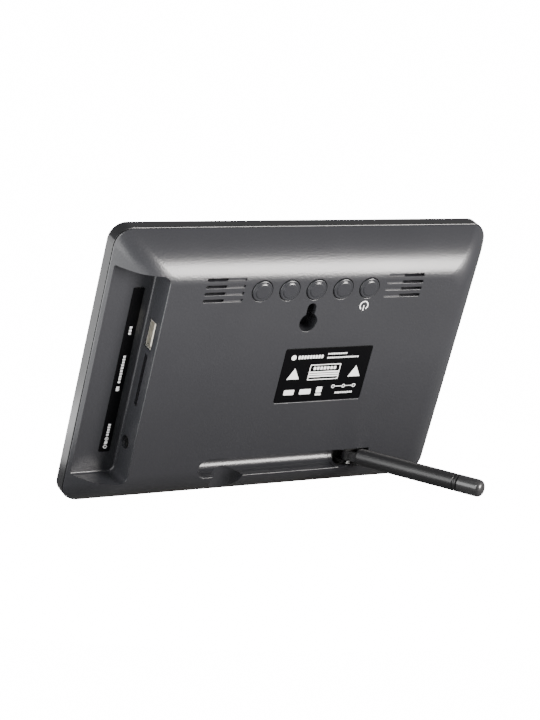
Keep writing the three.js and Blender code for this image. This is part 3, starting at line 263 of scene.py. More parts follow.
def grid_faces(rows, columns, ring=False):
    """Four-sided faces between neighbours of a grid. Each row joins its last point to its first.
    A ring joins the last row to the first; otherwise a flat face closes each end."""
    index = np.arange(rows * columns).reshape(rows, columns)
    index = np.concatenate([index, index[:, :1]], axis=1)
    if ring:
        index = np.concatenate([index, index[:1]], axis=0)
    quads = np.stack(
        [index[:-1, :-1], index[:-1, 1:], index[1:, 1:], index[1:, :-1]], axis=-1).reshape(-1, 4)
    faces = quads.tolist()
    if not ring:
        faces.append(index[0, :columns][::-1].tolist())
        faces.append(index[-1, :columns].tolist())
    return faces


def shell(name, rows, body=None, ring=False):
    """A closed skin through a stack of closed rows, given in metres."""
    return put_in_mesh(name, rows, grid_faces(rows.shape[0], rows.shape[1], ring), body)


def loft(name, rows, body=None, ring=False):
    """The same skin through rows given in mm on the case's axes."""
    return shell(name, in_frame(rows), body, ring)


def rounded(across, height, wide, tall, radius, steps=10):
    """Points round a rectangle: each corner's centre plus the radius turned over a quarter."""
    radius = max(radius, SHARPEST)
    middles = np.array([wide, tall]) / 2 - radius
    signs = np.array([[1, 1], [-1, 1], [-1, -1], [1, -1]])
    angle = np.arange(4)[:, None] * np.pi / 2 + np.linspace(0, np.pi / 2, steps + 1)
    turned = np.stack([np.cos(angle), np.sin(angle)], axis=-1)
    return (signs[:, None] * middles + radius * turned).reshape(-1, 2) + (across, height)


def grown(across, height, wide, tall, radius, more, steps=10):
    """The same rectangle, moved out all round."""
    return rounded(across, height, wide + 2 * more, tall + 2 * more, radius + more, steps)


def case_outline(inset, corner, steps=12):
    """The case's own outline, moved in all round."""
    return rounded(0, MIDDLE, CASE_WIDTH - 2 * inset, CASE_HEIGHT - 2 * inset, corner, steps)


def circle(across, height, radius, steps=48):
    """Points round a circle: cosine and sine of equal angles times the radius."""
    angle = np.arange(steps) / steps * 2 * np.pi
    return np.stack([across + radius * np.cos(angle), height + radius * np.sin(angle)], axis=-1)


def keyhole_outline(back, wide_more, narrow_more, steps=20):
    """An arc of the wide circle from one side of the slot round to the other, then a half circle
    of the narrow one above it, each grown by its own length."""
    height, rise = back.keyhole_height, back.keyhole_rise
    wide, narrow = back.keyhole_wide + wide_more, back.keyhole_narrow + narrow_more
    meet = np.arccos(min(narrow / wide, 1))
    low = np.linspace(np.pi - meet, 2 * np.pi + meet, 2 * steps)
    high = np.linspace(0, np.pi, steps)
    below = wide * np.stack([np.cos(low), np.sin(low)], axis=-1) + (0, height)
    above = narrow * np.stack([np.cos(high), np.sin(high)], axis=-1) + (0, height + rise)
    return np.concatenate([below, above])


def at_depth(outline, depth):
    """An outline (across, height) laid flat at one depth."""
    return np.stack([outline[:, 0], np.full(len(outline), depth), outline[:, 1]], axis=-1)


def at_across(outline, across):
    """An outline (depth, height) stood at one place across the case."""
    return np.stack([np.full(len(outline), across), outline[:, 0], outline[:, 1]], axis=-1)


def quarter(count=5):
    """Angles over a quarter turn, for a rounded edge."""
    return np.linspace(0, np.pi / 2, count)


def sunk(name, outline, floor, mouth, lip=0.0, cove=0.0, reach=2.0):
    """A cutter for a hollow: an outline that grows with its argument, carried out from the floor.
    It starts smaller by the cove's radius and swells along a quarter circle, and at the mouth it
    flares along another, so the hollow gets a rounded foot and a rounded edge."""
    growth, depth = [0.0], [floor]
    if cove:
        turn = quarter()
        growth = list(-cove * (1 - np.sin(turn)))
        depth = list(floor + cove * (1 - np.cos(turn)))
    if lip:
        turn = quarter()
        growth += list(lip * (1 - np.cos(turn)))
        depth += list(mouth - lip + lip * np.sin(turn))
    growth.append(lip)
    depth.append(mouth + reach)
    return loft(name, [at_depth(outline(g), d) for g, d in zip(growth, depth)])


def box(name, low, high):
    """A six-sided cutter between two corners (across, depth, height)."""
    middle = (np.array(low) + high) / 2
    size = np.array(high) - low
    outline = rounded(middle[0], middle[2], size[0], size[2], SHARPEST, 1)
    return loft(name, [at_depth(outline, low[1]), at_depth(outline, high[1])])


def shape(piece, work):
    """Joins and cuts a piece by others in turn, keeps the result as its plain mesh and removes
    the others."""
    for operation, tool in work:
        step = piece.modifiers.new(operation.lower(), "BOOLEAN")
        step.operation = operation
        step.object = tool
        step.solver = "MANIFOLD"
    keep_result(piece)
    for _, tool in work:
        mesh = tool.data
        bpy.data.objects.remove(tool)
        bpy.data.meshes.remove(mesh)


def keep_result(piece):
    """Replaces a piece's mesh by what its modifiers make of it."""
    bpy.context.view_layer.update()
    seen = piece.evaluated_get(bpy.context.evaluated_depsgraph_get())
    made = bpy.data.meshes.new_from_object(seen)
    old = piece.data
    piece.modifiers.clear()
    piece.data = made
    made.name = piece.name
    bpy.data.meshes.remove(old)


def smooth(piece, degrees):
    """Smooth shading with sharp edges over an angle, and normals led by the larger faces, so that
    flats stay flat next to their rounded edges."""
    piece.data.shade_smooth()
    piece.data.set_sharp_from_angle(angle=np.radians(degrees))
    weigh = piece.modifiers.new("weigh", "WEIGHTED_NORMAL")
    weigh.keep_sharp = True
    weigh.weight = 50
    keep_result(piece)


def stand_in(piece, node, material, degrees):
    """Smooths and paints a fine piece, and lets it stand in for its CAD node."""
    smooth(piece, degrees)
    paint(piece, bpy.data.materials[material])
    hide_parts(node)


# ---- Finishes --------------------------------------------------------------------------------

def grain_group():
    """Moulded plastic's skin, shared by every finish. Fine noise gives the height of the grain.
    Slow noise moves the roughness and the colour a little either way, and thin dust, where a
    third noise passes a high limit, lightens the colour and dulls the gloss."""
    group = bpy.data.node_groups.new("moulded_skin", "ShaderNodeTree")
    for name, kind, default in (
            ("Place", "NodeSocketVector", None), ("Colour", "NodeSocketColor", None),
            ("Roughness", "NodeSocketFloat", 0.4), ("Grain Size", "NodeSocketFloat", 2500.0),
            ("Unevenness", "NodeSocketFloat", 0.05), ("Dust", "NodeSocketFloat", 0.02)):
        socket = group.interface.new_socket(name, in_out="INPUT", socket_type=kind)
        if default is not None:
            socket.default_value = default
    for name, kind in (("Colour", "NodeSocketColor"), ("Roughness", "NodeSocketFloat"),
                       ("Height", "NodeSocketFloat")):
        group.interface.new_socket(name, in_out="OUTPUT", socket_type=kind)
    node, link = group.nodes.new, group.links.new
    given, out = node("NodeGroupInput"), node("NodeGroupOutput")

    def noise(scale, detail):
        made = node("ShaderNodeTexNoise")
        made.inputs["Detail"].default_value = detail
        link(given.outputs["Place"], made.inputs["Vector"])
        if isinstance(scale, float):
            made.inputs["Scale"].default_value = scale
        else:
            link(scale, made.inputs["Scale"])
        return made.outputs["Fac"]

    def maths(operation, *values):
        made = node("ShaderNodeMath")
        made.operation = operation
        for socket, value in zip(made.inputs, values):
            if isinstance(value, (int, float)):
                socket.default_value = value
            else:
                link(value, socket)
        return made.outputs[0]

    fine = noise(given.outputs["Grain Size"], 2.0)
    slow = noise(38.0, 3.0)
    specks = noise(900.0, 4.0)
    dust = maths("MULTIPLY", maths("SUBTRACT", specks, 0.6), 6.0)
    dust = maths("MULTIPLY", maths("MAXIMUM", dust, 0.0), given.outputs["Dust"])
    drift = maths("MULTIPLY", maths("SUBTRACT", slow, 0.5), given.outputs["Unevenness"])
    link(maths("ADD", maths("ADD", given.outputs["Roughness"], drift), dust),
         out.inputs["Roughness"])
    bright = maths("ADD", maths("ADD", maths("MULTIPLY", drift, 2.0), 1.0),
                   maths("MULTIPLY", dust, 3.0))
    tint = node("ShaderNodeVectorMath")
    tint.operation = "SCALE"
    link(given.outputs["Colour"], tint.inputs[0])
    link(bright, tint.inputs["Scale"])
    link(tint.outputs["Vector"], out.inputs["Colour"])
    link(fine, out.inputs["Height"])
    return group


def finish(name, base, roughness, metal=0.0, grain=0.1, grain_size=2500.0, uneven=0.05, dust=0.02,
           coat=0.0, specular=0.5):
    """A Principled material whose colour, roughness and bump come through the moulded skin."""
    group = bpy.data.node_groups.get("moulded_skin") or grain_group()
    material = bpy.data.materials.new(name)
    material.use_nodes = True
    nodes, link = material.node_tree.nodes, material.node_tree.links.new
    shader = nodes["Principled BSDF"]
    place = nodes.new("ShaderNodeTexCoord")
    skin = nodes.new("ShaderNodeGroup")
    skin.node_tree = group
    bump = nodes.new("ShaderNodeBump")
    for owner, socket, value in (
            (skin, "Colour", (*base, 1)), (skin, "Roughness", roughness),
            (skin, "Grain Size", grain_size), (skin, "Unevenness", uneven), (skin, "Dust", dust),
            (bump, "Strength", grain), (bump, "Distance", 0.1 * MM),
            (shader, "Metallic", metal), (shader, "Coat Weight", coat),
            (shader, "Coat Roughness", 0.05), (shader, "Specular IOR Level", specular)):
        owner.inputs[socket].default_value = value
    for source, output, taker, socket in (
            (place, "Object", skin, "Place"), (skin, "Colour", shader, "Base Color"),
            (skin, "Roughness", shader, "Roughness"), (skin, "Height", bump, "Height"),
            (bump, "Normal", shader, "Normal")):
        link(source.outputs[output], taker.inputs[socket])
    return material


def paint(piece, material):
    """Gives a piece, new or carried over, its one material."""
    piece.data.materials.clear()
    piece.data.materials.append(material)


class OBJECT_OT_finishes(bpy.types.Operator):
    """Makes every finish and gives it to the carried-over pieces"""
    bl_idname = "photo_frame.finishes"
    bl_label = "Finishes"

    def execute(self, context):
        looks = context.scene.frame_finishes
        made = {
            "graphite_plastic": finish(
                "satin_graphite", looks.cover, looks.cover_roughness, grain=looks.grain,
                grain_size=1200.0),
            "button_plastic": finish("button_graphite", looks.button, 0.22, grain=0.06),
            "gloss_black": finish(
                "bezel_gloss", looks.bezel, 0.16, grain=0.02, uneven=0.03),
            "black_plastic": finish("black_plastic", (0.012, 0.012, 0.012), 0.5, grain=0.2),
            "leg_plastic": finish("leg_satin", looks.leg, 0.34, grain=0.2),
            "leg_rubber": finish("tip_rubber", looks.tip, 0.4, grain=0.05, coat=0.8),
            "foam": finish("foam", (0.02, 0.02, 0.02), 0.95, grain=0.6, grain_size=1500.0),
            "panel_glass": finish(
                "panel_glass", (0.006, 0.006, 0.008), 0.1, grain=0.0, uneven=0.02, coat=0.5),
            "diffuser_white": finish("diffuser_white", (0.85, 0.86, 0.84), 0.6),
            "steel": finish(
                "steel", (0.78, 0.78, 0.76), 0.36, metal=1.0, grain=0.15, grain_size=900.0),
            "can_aluminium": finish("can_aluminium", (0.7, 0.71, 0.72), 0.32, metal=1.0),
            "circuit_board": finish(
                "circuit_board", (0.012, 0.1, 0.03), 0.35, grain=0.3, grain_size=700.0),
            "chip_epoxy": finish("chip_epoxy", (0.011, 0.011, 0.012), 0.65, grain=0.4),
            "ferrite": finish("ferrite", (0.06, 0.05, 0.045), 0.8, grain=0.5),
            "socket_white": finish("socket_white", (0.74, 0.7, 0.6), 0.4, grain=0.05),
            "label_black": finish(
                "label_film", looks.label, 0.35, grain=0.03, dust=0.01, specular=0.06),
            "ribbon_grey": finish("ribbon_grey", (0.45, 0.46, 0.48), 0.5),
            "flex_amber": finish("flex_amber", (0.42, 0.16, 0.02), 0.3),
            "speaker_paper": finish(
                "speaker_paper", (0.02, 0.02, 0.021), 0.9, grain=0.7, grain_size=1200.0),
        }
        finish("white_ink", looks.ink, 0.5, grain=0.05, uneven=0.02, dust=0.0)
        for row in RECORD["subparts"]:
            paint(frame["nodes"][row["node"]], made[row["material_slot"]])
        return {"FINISHED"}


# ---- Rear cover ------------------------------------------------------------------------------

def pillow_rows(inset, front, back, run, corner, levels):
    """The cover's form: a rounded rectangle that moves in by a share of its run at each level and
    out by one minus the square of what is left, so the slope ends level with the back."""
    return [
        at_depth(case_outline(inset + run * level, corner),
                 front + (back - front) * (1 - (1 - level) ** 2))
        for level in levels]


def socket_recess(sizes, skin, lip=0.0, cove=0.0):
    """The recess beside the sockets: a rounded rectangle carried out. It reaches well past the
    case's side, so that it is open there."""
    past_side = 20
    reach = CASE_WIDTH / 2 + past_side - sizes.port_wall
    return sunk(
        "recess",
        lambda grow: grown(
            sizes.port_wall + reach / 2, (sizes.port_low + sizes.port_high) / 2,
            reach, sizes.port_high - sizes.port_low, sizes.port_corner, skin + grow),
        sizes.port_floor - skin, CASE_DEPTH, lip, cove, 4)


def leg_groove(sizes, skin, left, lip=0.0):
    """The groove the leg folds into, as outlines stacked from its floor outwards. Each is a long
    strip with a round free end. As deep as the leg's middle and deeper, its half width follows a
    circle; further out the lower side stays square and the upper side slopes with the hinge.
    The skin grows it on every side, and the lip flares its lower side at the mouth."""
    pivot = pivot_of_leg()
    radius = sizes.groove_radius + skin
    slope = np.tan(tilt_of_pin())
    lower_mouth = CASE_DEPTH - sizes.groove_mouth
    turn = np.linspace(0.012, np.pi / 2, 14)
    depth = list(pivot[1] - radius * np.cos(turn))
    depth += list(np.linspace(pivot[1] + 0.4, lower_mouth - lip, 5))
    depth += list(lower_mouth - lip + lip * np.sin(quarter()[1:])) if lip else []
    depth += list(np.linspace(lower_mouth + 0.1, CASE_DEPTH + 3, 6))
    rows = []
    for d in depth:
        gap = d - pivot[1]
        below = np.sqrt(max(radius ** 2 - gap ** 2, 1e-6)) if gap < 0 else radius
        plane = gap * slope + radius / np.cos(tilt_of_pin())
        above = plane if gap > -radius * np.sin(tilt_of_pin()) else below
        if lip and d > lower_mouth - lip:
            below += lip * (1 - np.sqrt(max(1 - ((d - lower_mouth + lip) / lip) ** 2, 0)))
        turn_end = np.linspace(-np.pi / 2, np.pi / 2, 25)
        mean, half = (above + below) / 2, (above - below) / 2
        ending = sizes.groove_end - sizes.groove_radius
        end = np.stack([
            ending + mean * np.cos(turn_end),
            pivot[2] + half + mean * np.sin(turn_end)], axis=-1)
        start = np.array([[left, pivot[2] + above], [left, pivot[2] - below]])
        rows.append(at_depth(np.concatenate([end, start]), d))
    return loft("groove", rows)


def finger_scoop(sizes, skin):
    """The scoop beside the folded tip: a round bar's shape lying up the case."""
    outline = circle(
        sizes.scoop_across, CASE_DEPTH + sizes.scoop_axis, sizes.scoop_radius + skin, 96)
    return loft("scoop", [
        np.stack([outline[:, 0], outline[:, 1], np.full(len(outline), height)], axis=-1)
        for height in (sizes.scoop_low, pivot_of_leg()[2])])


def hinge_pocket(sizes):
    """The open pocket over the hinge: a square section turned with the pin, and a level one that
    takes away what the turned one leaves below it. Both reach out past the back."""
    pivot, tilt = pivot_of_leg(), tilt_of_pin()
    half = sizes.groove_radius
    inner, outer = -1, 14        # from the pin's middle into the case, and out past the back
    corners = np.array([[inner, -half], [outer, -half], [outer, half], [inner, half]])
    turn = np.array([[np.cos(tilt), np.sin(tilt)], [-np.sin(tilt), np.cos(tilt)]])
    leaning = corners @ turn + (pivot[1], pivot[2])
    ends = (sizes.pocket_left, sizes.pocket_right + 0.05)
    return [
        loft("pocket", [at_across(leaning, x) for x in ends]),
        box("pocket_low", (ends[0], pivot[1], pivot[2] - half), (ends[1], pivot[1] + 10, pivot[2])),
    ]


def pivot_of_leg():
    """The hinge pin's middle on the case's axes, in mm."""
    return along_case(np.array([LEG_JOINT["pos_m"]]))[0] - START


def tilt_of_pin():
    """How far the pin leans out of the case's height, in radians."""
    axis = np.array(LEG_JOINT["axis"], float)
    return float(np.arctan2(abs(axis @ OUT), abs(axis @ UP)))


def row_of_buttons():
    """Middle of each button (across, height) and the radius of its round, from the CAD."""
    places = {}
    for name in BUTTONS:
        low, high = extent(f"button_{name}")
        places[name] = ((low[0] + high[0]) / 2, (low[2] + high[2]) / 2)
    low, high = extent("button_select")
    return places, (high[2] - low[2]) / 2


class OBJECT_OT_rear_cover(bpy.types.Operator):
    """Makes the rear cover: a hollow pillow with its recess, groove, scoop, keyhole and grilles"""
    bl_idname = "photo_frame.rear_cover"
    bl_label = "Rear cover"

    def execute(self, context):
        case, back = context.scene.frame_case, context.scene.frame_back
        # The rim's rounded edge: in from the case's outline, and out from the rim.
        edge = ((0.42, 0), (0.24, 0.04), (0.2, 0.16))
        cover_rows = [
            at_depth(case_outline(inset, case.corner), case.rim_depth + out) for inset, out in edge]
        # Levels lie closer together at the start, where the slope is steepest.
        levels = 1 - np.cos(np.linspace(0.22, np.pi / 2, 44))
        levels[-1] = 1
        cover_rows += pillow_rows(
            0, case.rim_depth, CASE_DEPTH, case.slope_run, case.corner, [0.0175, *levels])
        cover = loft("rear_cover_fine", cover_rows, "case")

        room = loft("room", pillow_rows(
            case.rim_wall, case.rim_depth - 0.01, CASE_DEPTH - case.wall,
            case.slope_run - case.rim_wall, case.corner - case.wall, np.linspace(0, 1, 16)))
        shape(room, [("DIFFERENCE", tool) for tool in (
            socket_recess(back, back.port_skin),
            leg_groove(back, back.groove_skin, back.pocket_right + 0.3),
            finger_scoop(back, back.groove_skin),
            sunk("cup", lambda grow: keyhole_outline(
                back, back.cup_wall, back.cup_room + back.cup_thin_wall),
                CASE_DEPTH - back.keyhole_cup - back.cup_floor, CASE_DEPTH))])

        cuts = [room, socket_recess(back, 0, case.edge_round, back.port_cove),
                leg_groove(back, 0, back.pocket_right + back.rib_width, case.edge_round),
                leg_groove(back, -back.rib_rise, back.pocket_right, case.edge_round),
                finger_scoop(back, 0)]
        cuts += hinge_pocket(back)
        cuts += self.keyhole(case, back)
        cuts += self.button_holes(case)
        cuts += self.grilles(case, back)
        cuts += self.label_pocket(case)
        cuts += self.socket_holes(back)
        shape(cover, [("DIFFERENCE", tool) for tool in cuts] + [
            ("UNION", tool) for tool in self.lip(case) + self.fences(case)])
        stand_in(cover, "rear_cover", "satin_graphite", 32)
        return {"FINISHED"}

    def keyhole(self, case, back):
        """The keyhole through the wall, and the wider cup behind its narrow end."""
        floor = CASE_DEPTH - back.keyhole_cup
        return [
            sunk("keyhole", lambda grow: keyhole_outline(back, grow, grow),
                 floor, CASE_DEPTH, case.fine_round),
            sunk("keyhole_cup", lambda grow: keyhole_outline(back, -0.02, back.cup_room),
                 floor, CASE_DEPTH - case.wall, reach=0)]

    def button_holes(self, case):
        """A round hole right through the wall for each button, a gap wider than its round."""
        places, _ = row_of_buttons()
        return [
            sunk("button_hole", lambda grow, place=place: circle(*place, case.button_hole + grow, 64),
                 CASE_DEPTH - case.wall - 1.2, CASE_DEPTH, case.fine_round)
            for place in places.values()]

    def grilles(self, case, back):
        """Four slots a side: a shallow groove all along and a cut right through the far part."""
        long = back.grille_far - back.grille_near
        through = long * back.grille_open
        middle = (back.grille_near + back.grille_far) / 2
        tools = []
        for side in (-1, 1):
            for i in range(4):
                height = back.grille_height + (i - 1.5) * back.grille_pitch
                for across, wide, deep in (
                        (middle, long, 0.7),
                        (back.grille_far - through / 2, through, case.wall + 1)):
                    tools.append(sunk(
                        "slot", lambda grow, x=side * across, w=wide, h=height: grown(
                            x, h, w, back.grille_slot, back.grille_slot / 2.02, grow, 6),
                        CASE_DEPTH - deep, CASE_DEPTH, case.fine_round * 0.8))
        return tools

    def label_pocket(self, case):
        """A shallow rounded rectangle a little larger than the rating label."""
        low, high = extent("rating_label")
        middle, size = (low + high) / 2, high - low + 0.4
        return [sunk(
            "label_pocket",
            lambda grow: grown(middle[0], middle[2], size[0], size[2], 1.2, grow),
            low[1] - 0.1, CASE_DEPTH, case.fine_round)]

    def socket_holes(self, back):
        """Holes through the recess's wall: one a gap larger than the USB shell, one for the card
        itself, inside the ends of its socket, and a round one about the jack's pin."""
        ends = (back.port_wall - back.port_skin - 1, back.port_wall + 1)
        gap, card_inset, card_thick, jack_radius = 0.3, 0.9, (0.5, 2.9), 3.2
        usb_low, usb_high = extent("usb_shell")
        card_low, card_high = extent("card_socket")
        jack_low, jack_high = extent("dc_jack_pin")
        pin = (jack_low + jack_high) / 2
        jack = circle(pin[1], pin[2], jack_radius)
        return [
            box("usb_hole", (ends[0], usb_low[1] - gap, usb_low[2] - gap),
                (ends[1], usb_high[1] + gap, usb_high[2] + gap)),
            box("card_hole", (ends[0], card_low[1] + card_thick[0], card_low[2] + card_inset),
                (ends[1], card_low[1] + card_thick[1], card_high[2] - card_inset)),
            loft("jack_hole", [at_across(jack, x) for x in ends])]

    def lip(self, case):
        """The lip that stands inside the bezel's walls, as a ring of four-cornered section."""
        outside = case.wall + 0.3
        inside = outside + 1.2
        low, high = COVER_LOW[1], case.rim_depth + 1.8
        return [loft("lip", [
            at_depth(case_outline(inset, case.corner - inset, 10), depth)
            for inset, depth in ((outside, low), (outside, high), (inside, high), (inside, low))],
            ring=True)]

    def fences(self, case):
        """A rib round each speaker, as a ring of four-cornered section."""
        tools = []
        rib = 1.6                     # twice its thickness
        foot = CASE_DEPTH - case.wall + 0.5
        top = CASE_DEPTH - case.wall - 3
        for side in ("left", "right"):
            low, high = extent(f"speaker_{side}_basket")
            middle, size = (low + high) / 2, high - low + 0.6
            tools.append(loft("fence", [
                at_depth(rounded(
                    middle[0], middle[2], size[0] + more, size[2] + more, 1 + more / 3), depth)
                for more, depth in ((0, top), (0, foot), (rib, foot), (rib, top))], ring=True))
        return tools


# ---- Front bezel -----------------------------------------------------------------------------

class OBJECT_OT_front_bezel(bpy.types.Operator):
    """Makes the glossy front bezel as one section carried round the case"""
    bl_idname = "photo_frame.front_bezel"
    bl_label = "Front bezel"

    def execute(self, context):
        case = context.scene.frame_case
        edge, bevel, wall = case.front_edge, case.window_edge, case.wall
        rows = []

        def outer(inset, depth, corner):
            rows.append(at_depth(case_outline(inset, corner, 14), depth))

        def inner(more, depth):
            rows.append(at_depth(
                grown(0, MIDDLE, case.window_wide, case.window_tall, 0.6, more, 14), depth))

        inner(0, wall)
        inner(0, bevel + 0.1)
        inner(0.1, bevel - 0.1)
        inner(bevel, 0.05)
        inner(bevel + 0.2, 0)
        outer(edge + 0.6, 0, case.corner - edge)
        for turn in quarter(9):
            outer(edge * (1 - np.sin(turn)), edge * (1 - np.cos(turn)),
                  case.corner - edge * (1 - np.sin(turn)))
        outer(0, BEZEL_DEPTH - 0.35, case.corner)
        outer(0.08, BEZEL_DEPTH - 0.1, case.corner)
        outer(0.3, BEZEL_DEPTH, case.corner)
        outer(wall, BEZEL_DEPTH, case.corner - wall)
        outer(wall, wall + 0.2, case.corner - wall)
        outer(wall + 0.4, wall, case.corner - wall)
        bezel = loft("front_bezel_fine", rows, "case", ring=True)
        stand_in(bezel, "front_bezel", "bezel_gloss", 40)
        return {"FINISHED"}


# ---- Buttons ---------------------------------------------------------------------------------

def turned(profile):
    """A profile of (radius, position) points carried round an axis, as rows of a circle each."""
    profile = np.asarray(profile, float)
    steps = 72
    angle = np.arange(steps) / steps * 2 * np.pi
    radius, place = profile[:, :1], profile[:, 1:2]
    return radius * np.cos(angle), radius * np.sin(angle), place + 0 * angle


def eased(points, count):
    """A smooth run through a few points: each pair of neighbours is joined by a cubic whose
    slopes are those between the points on either side."""
    points = np.asarray(points, float)
    reach = np.concatenate([[0], np.cumsum(np.linalg.norm(np.diff(points, axis=0), axis=1))])
    slopes = np.gradient(points, reach, axis=0)
    at = np.linspace(0, reach[-1], count)
    k = np.clip(np.searchsorted(reach, at, side="right") - 1, 0, len(points) - 2)
    span = (reach[k + 1] - reach[k])[:, None]
    t = ((at - reach[k])[:, None]) / span
    return ((2 * t ** 3 - 3 * t ** 2 + 1) * points[k] + (t ** 3 - 2 * t ** 2 + t) * span * slopes[k]
            + (3 * t ** 2 - 2 * t ** 3) * points[k + 1] + (t ** 3 - t ** 2) * span * slopes[k + 1])


class OBJECT_OT_buttons(bpy.types.Operator):
    """Makes the five round buttons with rounded rims and raised middles"""
    bl_idname = "photo_frame.buttons"
    bl_label = "Buttons"

    def execute(self, context):
        places, radius = row_of_buttons()
        top = extent("button_select")[1][1]
        skirt = CASE_DEPTH - 2.2
        crown = eased([
            [radius, top - 0.95], [radius - 0.08, top - 0.62], [radius - 0.3, top - 0.42],
            [radius - 0.75, top - 0.36], [radius - 1.2, top - 0.38], [radius - 1.4, top - 0.2],
            [radius - 1.75, top - 0.03], [radius - 2.4, top], [CORE, top]], 40)
        profile = np.concatenate([
            [[CORE, skirt], [radius - 0.2, skirt], [radius, skirt + 0.2]], crown])
        for name, (across, height) in places.items():
            a, b, depth = turned(profile)
            button = loft(f"button_{name}_fine", np.stack([across + a, depth, height + b], axis=-1))
            shape(button, [("UNION", tool) for tool in self.hidden(across, height, skirt, radius)])
            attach(button, f"{name}_button")
            stand_in(button, f"button_{name}", "button_graphite", 50)
        return {"FINISHED"}

    def hidden(self, across, height, skirt, radius):
        """What holds the button behind the cover: a neck, two ears and the stem."""
        front = extent("button_select")[0][1]
        flange, ear_wide, ear_tall = CASE_DEPTH - 2.3, 6.2, 2.2
        neck = circle(across, height, radius - 1, 36)
        stem = circle(across, height, 1.4, 24)
        return [
            loft("neck", [at_depth(neck, flange - 1), at_depth(neck, skirt + 0.3)]),
            box("ears", (across - ear_wide, flange - 1, height - ear_tall),
                (across + ear_wide, flange, height + ear_tall)),
            loft("stem", [at_depth(stem, front), at_depth(stem, flange - 0.5)])]


# ---- Leg -------------------------------------------------------------------------------------

def standing(points):
    """Swings points given on the case's axes with the leg folded, in mm, to where it stands:
    a turn back about the hinge pin by the joint's whole range, by Rodrigues' formula."""
    points = in_frame(points)
    pivot = np.array(LEG_JOINT["pos_m"])
    axis = np.array(LEG_JOINT["axis"], float)
    axis /= np.linalg.norm(axis)
    angle = -np.radians(LEG_JOINT["range_deg"][1])
    arm = points - pivot
    return (pivot + arm * np.cos(angle) + np.cross(axis, arm) * np.sin(angle)
            + axis * (arm @ axis)[..., None] * (1 - np.cos(angle)))


def on_leg(along, out, side):
    """Places along the folded leg, out of its groove and along the pin, all from the pin's
    middle: turned by the pin's lean, then swung to where the leg stands."""
    pivot, tilt = pivot_of_leg(), tilt_of_pin()
    along, out, side = np.broadcast_arrays(along, out, side)
    return standing(np.stack([
        pivot[0] + along, pivot[1] + out * np.cos(tilt) - side * np.sin(tilt),
        pivot[2] + out * np.sin(tilt) + side * np.cos(tilt)], axis=-1))


def leg_round(name, profile):
    """A turned form along the leg, from (radius, distance from the pin) points."""
    out, side, along = turned(profile)
    return shell(name, on_leg(along, out, side))


def leg_upright(name, outline, half):
    """A form of one outline (along, out) carried along the hinge pin to both sides."""
    return shell(name, on_leg(outline[:, 0], outline[:, 1], np.array([[-half], [half]])))


class OBJECT_OT_leg(bpy.types.Operator):
    """Makes the round leg with its hinge eye and ring groove, and its rubber tip, which leaves a
    second groove where it starts"""
    bl_idname = "photo_frame.leg"
    bl_label = "Leg"

    def execute(self, context):
        sizes = context.scene.frame_leg
        radius, cap = sizes.radius, sizes.cap_start
        ring = sizes.ring_depth
        groove = [
            [radius, cap - 2.3], [radius - 0.1, cap - 2.15], [radius - ring, cap - 1.95],
            [radius - ring, cap - 1.5], [radius - 0.1, cap - 1.3], [radius, cap - 1.15]]
        spigot = 2.5             # the barrel's thin end, inside the cap
        profile = [
            [CORE, sizes.root], [radius - 0.9, sizes.root], [radius - 0.45, sizes.root + 0.1],
            [radius - 0.15, sizes.root + 0.35], [radius, sizes.root + 0.8], *groove,
            [radius, cap - 0.4], [radius - 0.12, cap - 0.18], [radius - 0.4, cap - 0.1],
            [spigot, cap - 0.1], [spigot, cap + 6], [CORE, cap + 6]]
        barrel = leg_round("leg_barrel_fine", profile)
        eye = leg_upright("eye", circle(0, 0, sizes.eye_radius), sizes.eye_half)
        neck = leg_upright("neck", rounded(
            (sizes.root + 1) / 2, 0, sizes.root + 1, sizes.neck_tall, 0.3, 3), sizes.eye_half)
        bore = leg_upright("bore", circle(0, 0, sizes.bore, 32), sizes.eye_half + 1)
        shape(barrel, [("UNION", eye), ("UNION", neck), ("DIFFERENCE", bore)])
        turn = quarter(12)
        end = np.stack([
            radius - sizes.end_round * (1 - np.cos(turn)),
            sizes.length + sizes.end_round * np.sin(turn)], axis=-1)
        start, bore_end = cap + 0.2, cap + 6.3
        tip = leg_round("leg_tip_fine", np.concatenate([
            [[CORE, bore_end], [spigot + 0.3, bore_end], [spigot + 0.3, start],
             [radius - 0.4, start], [radius - 0.12, start + 0.08], [radius, start + 0.35]], end,
            [[CORE, sizes.length + sizes.end_round]]]))
        for piece, node, material, slot in (
                (barrel, "leg_barrel", "leg_satin", "leg_plastic"),
                (tip, "leg_tip", "tip_rubber", "leg_rubber")):
            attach(piece, "leg")
            stand_in(piece, node, material, 36)
        return {"FINISHED"}


# ---- Labels and print ------------------------------------------------------------------------

def bar(across, height, wide, tall):
    """A printed bar."""
    return rounded(across, height, wide, tall, min(wide, tall) * 0.12, 2)


def blocks(left, height, long, tall, count):
    """A row of plain printed blocks in place of words, running away from its left end."""
    pitch = long / count
    places = left - (np.arange(count) + 0.5) * pitch
    return [bar(place, height, pitch * 0.72, tall) for place in places]


def upright_blocks(across, height, long, wide, count):
    """A column of plain printed blocks about its middle."""
    pitch = long / count
    places = height + (np.arange(count) - (count - 1) / 2) * pitch
    return [bar(across, place, wide, pitch * 0.72) for place in places]


def triangle(across, height, size):
    """A printed triangle standing on its base."""
    return np.array([
        [across - size / 2, height - size * 0.43], [across + size / 2, height - size * 0.43],
        [across, height + size * 0.43]])


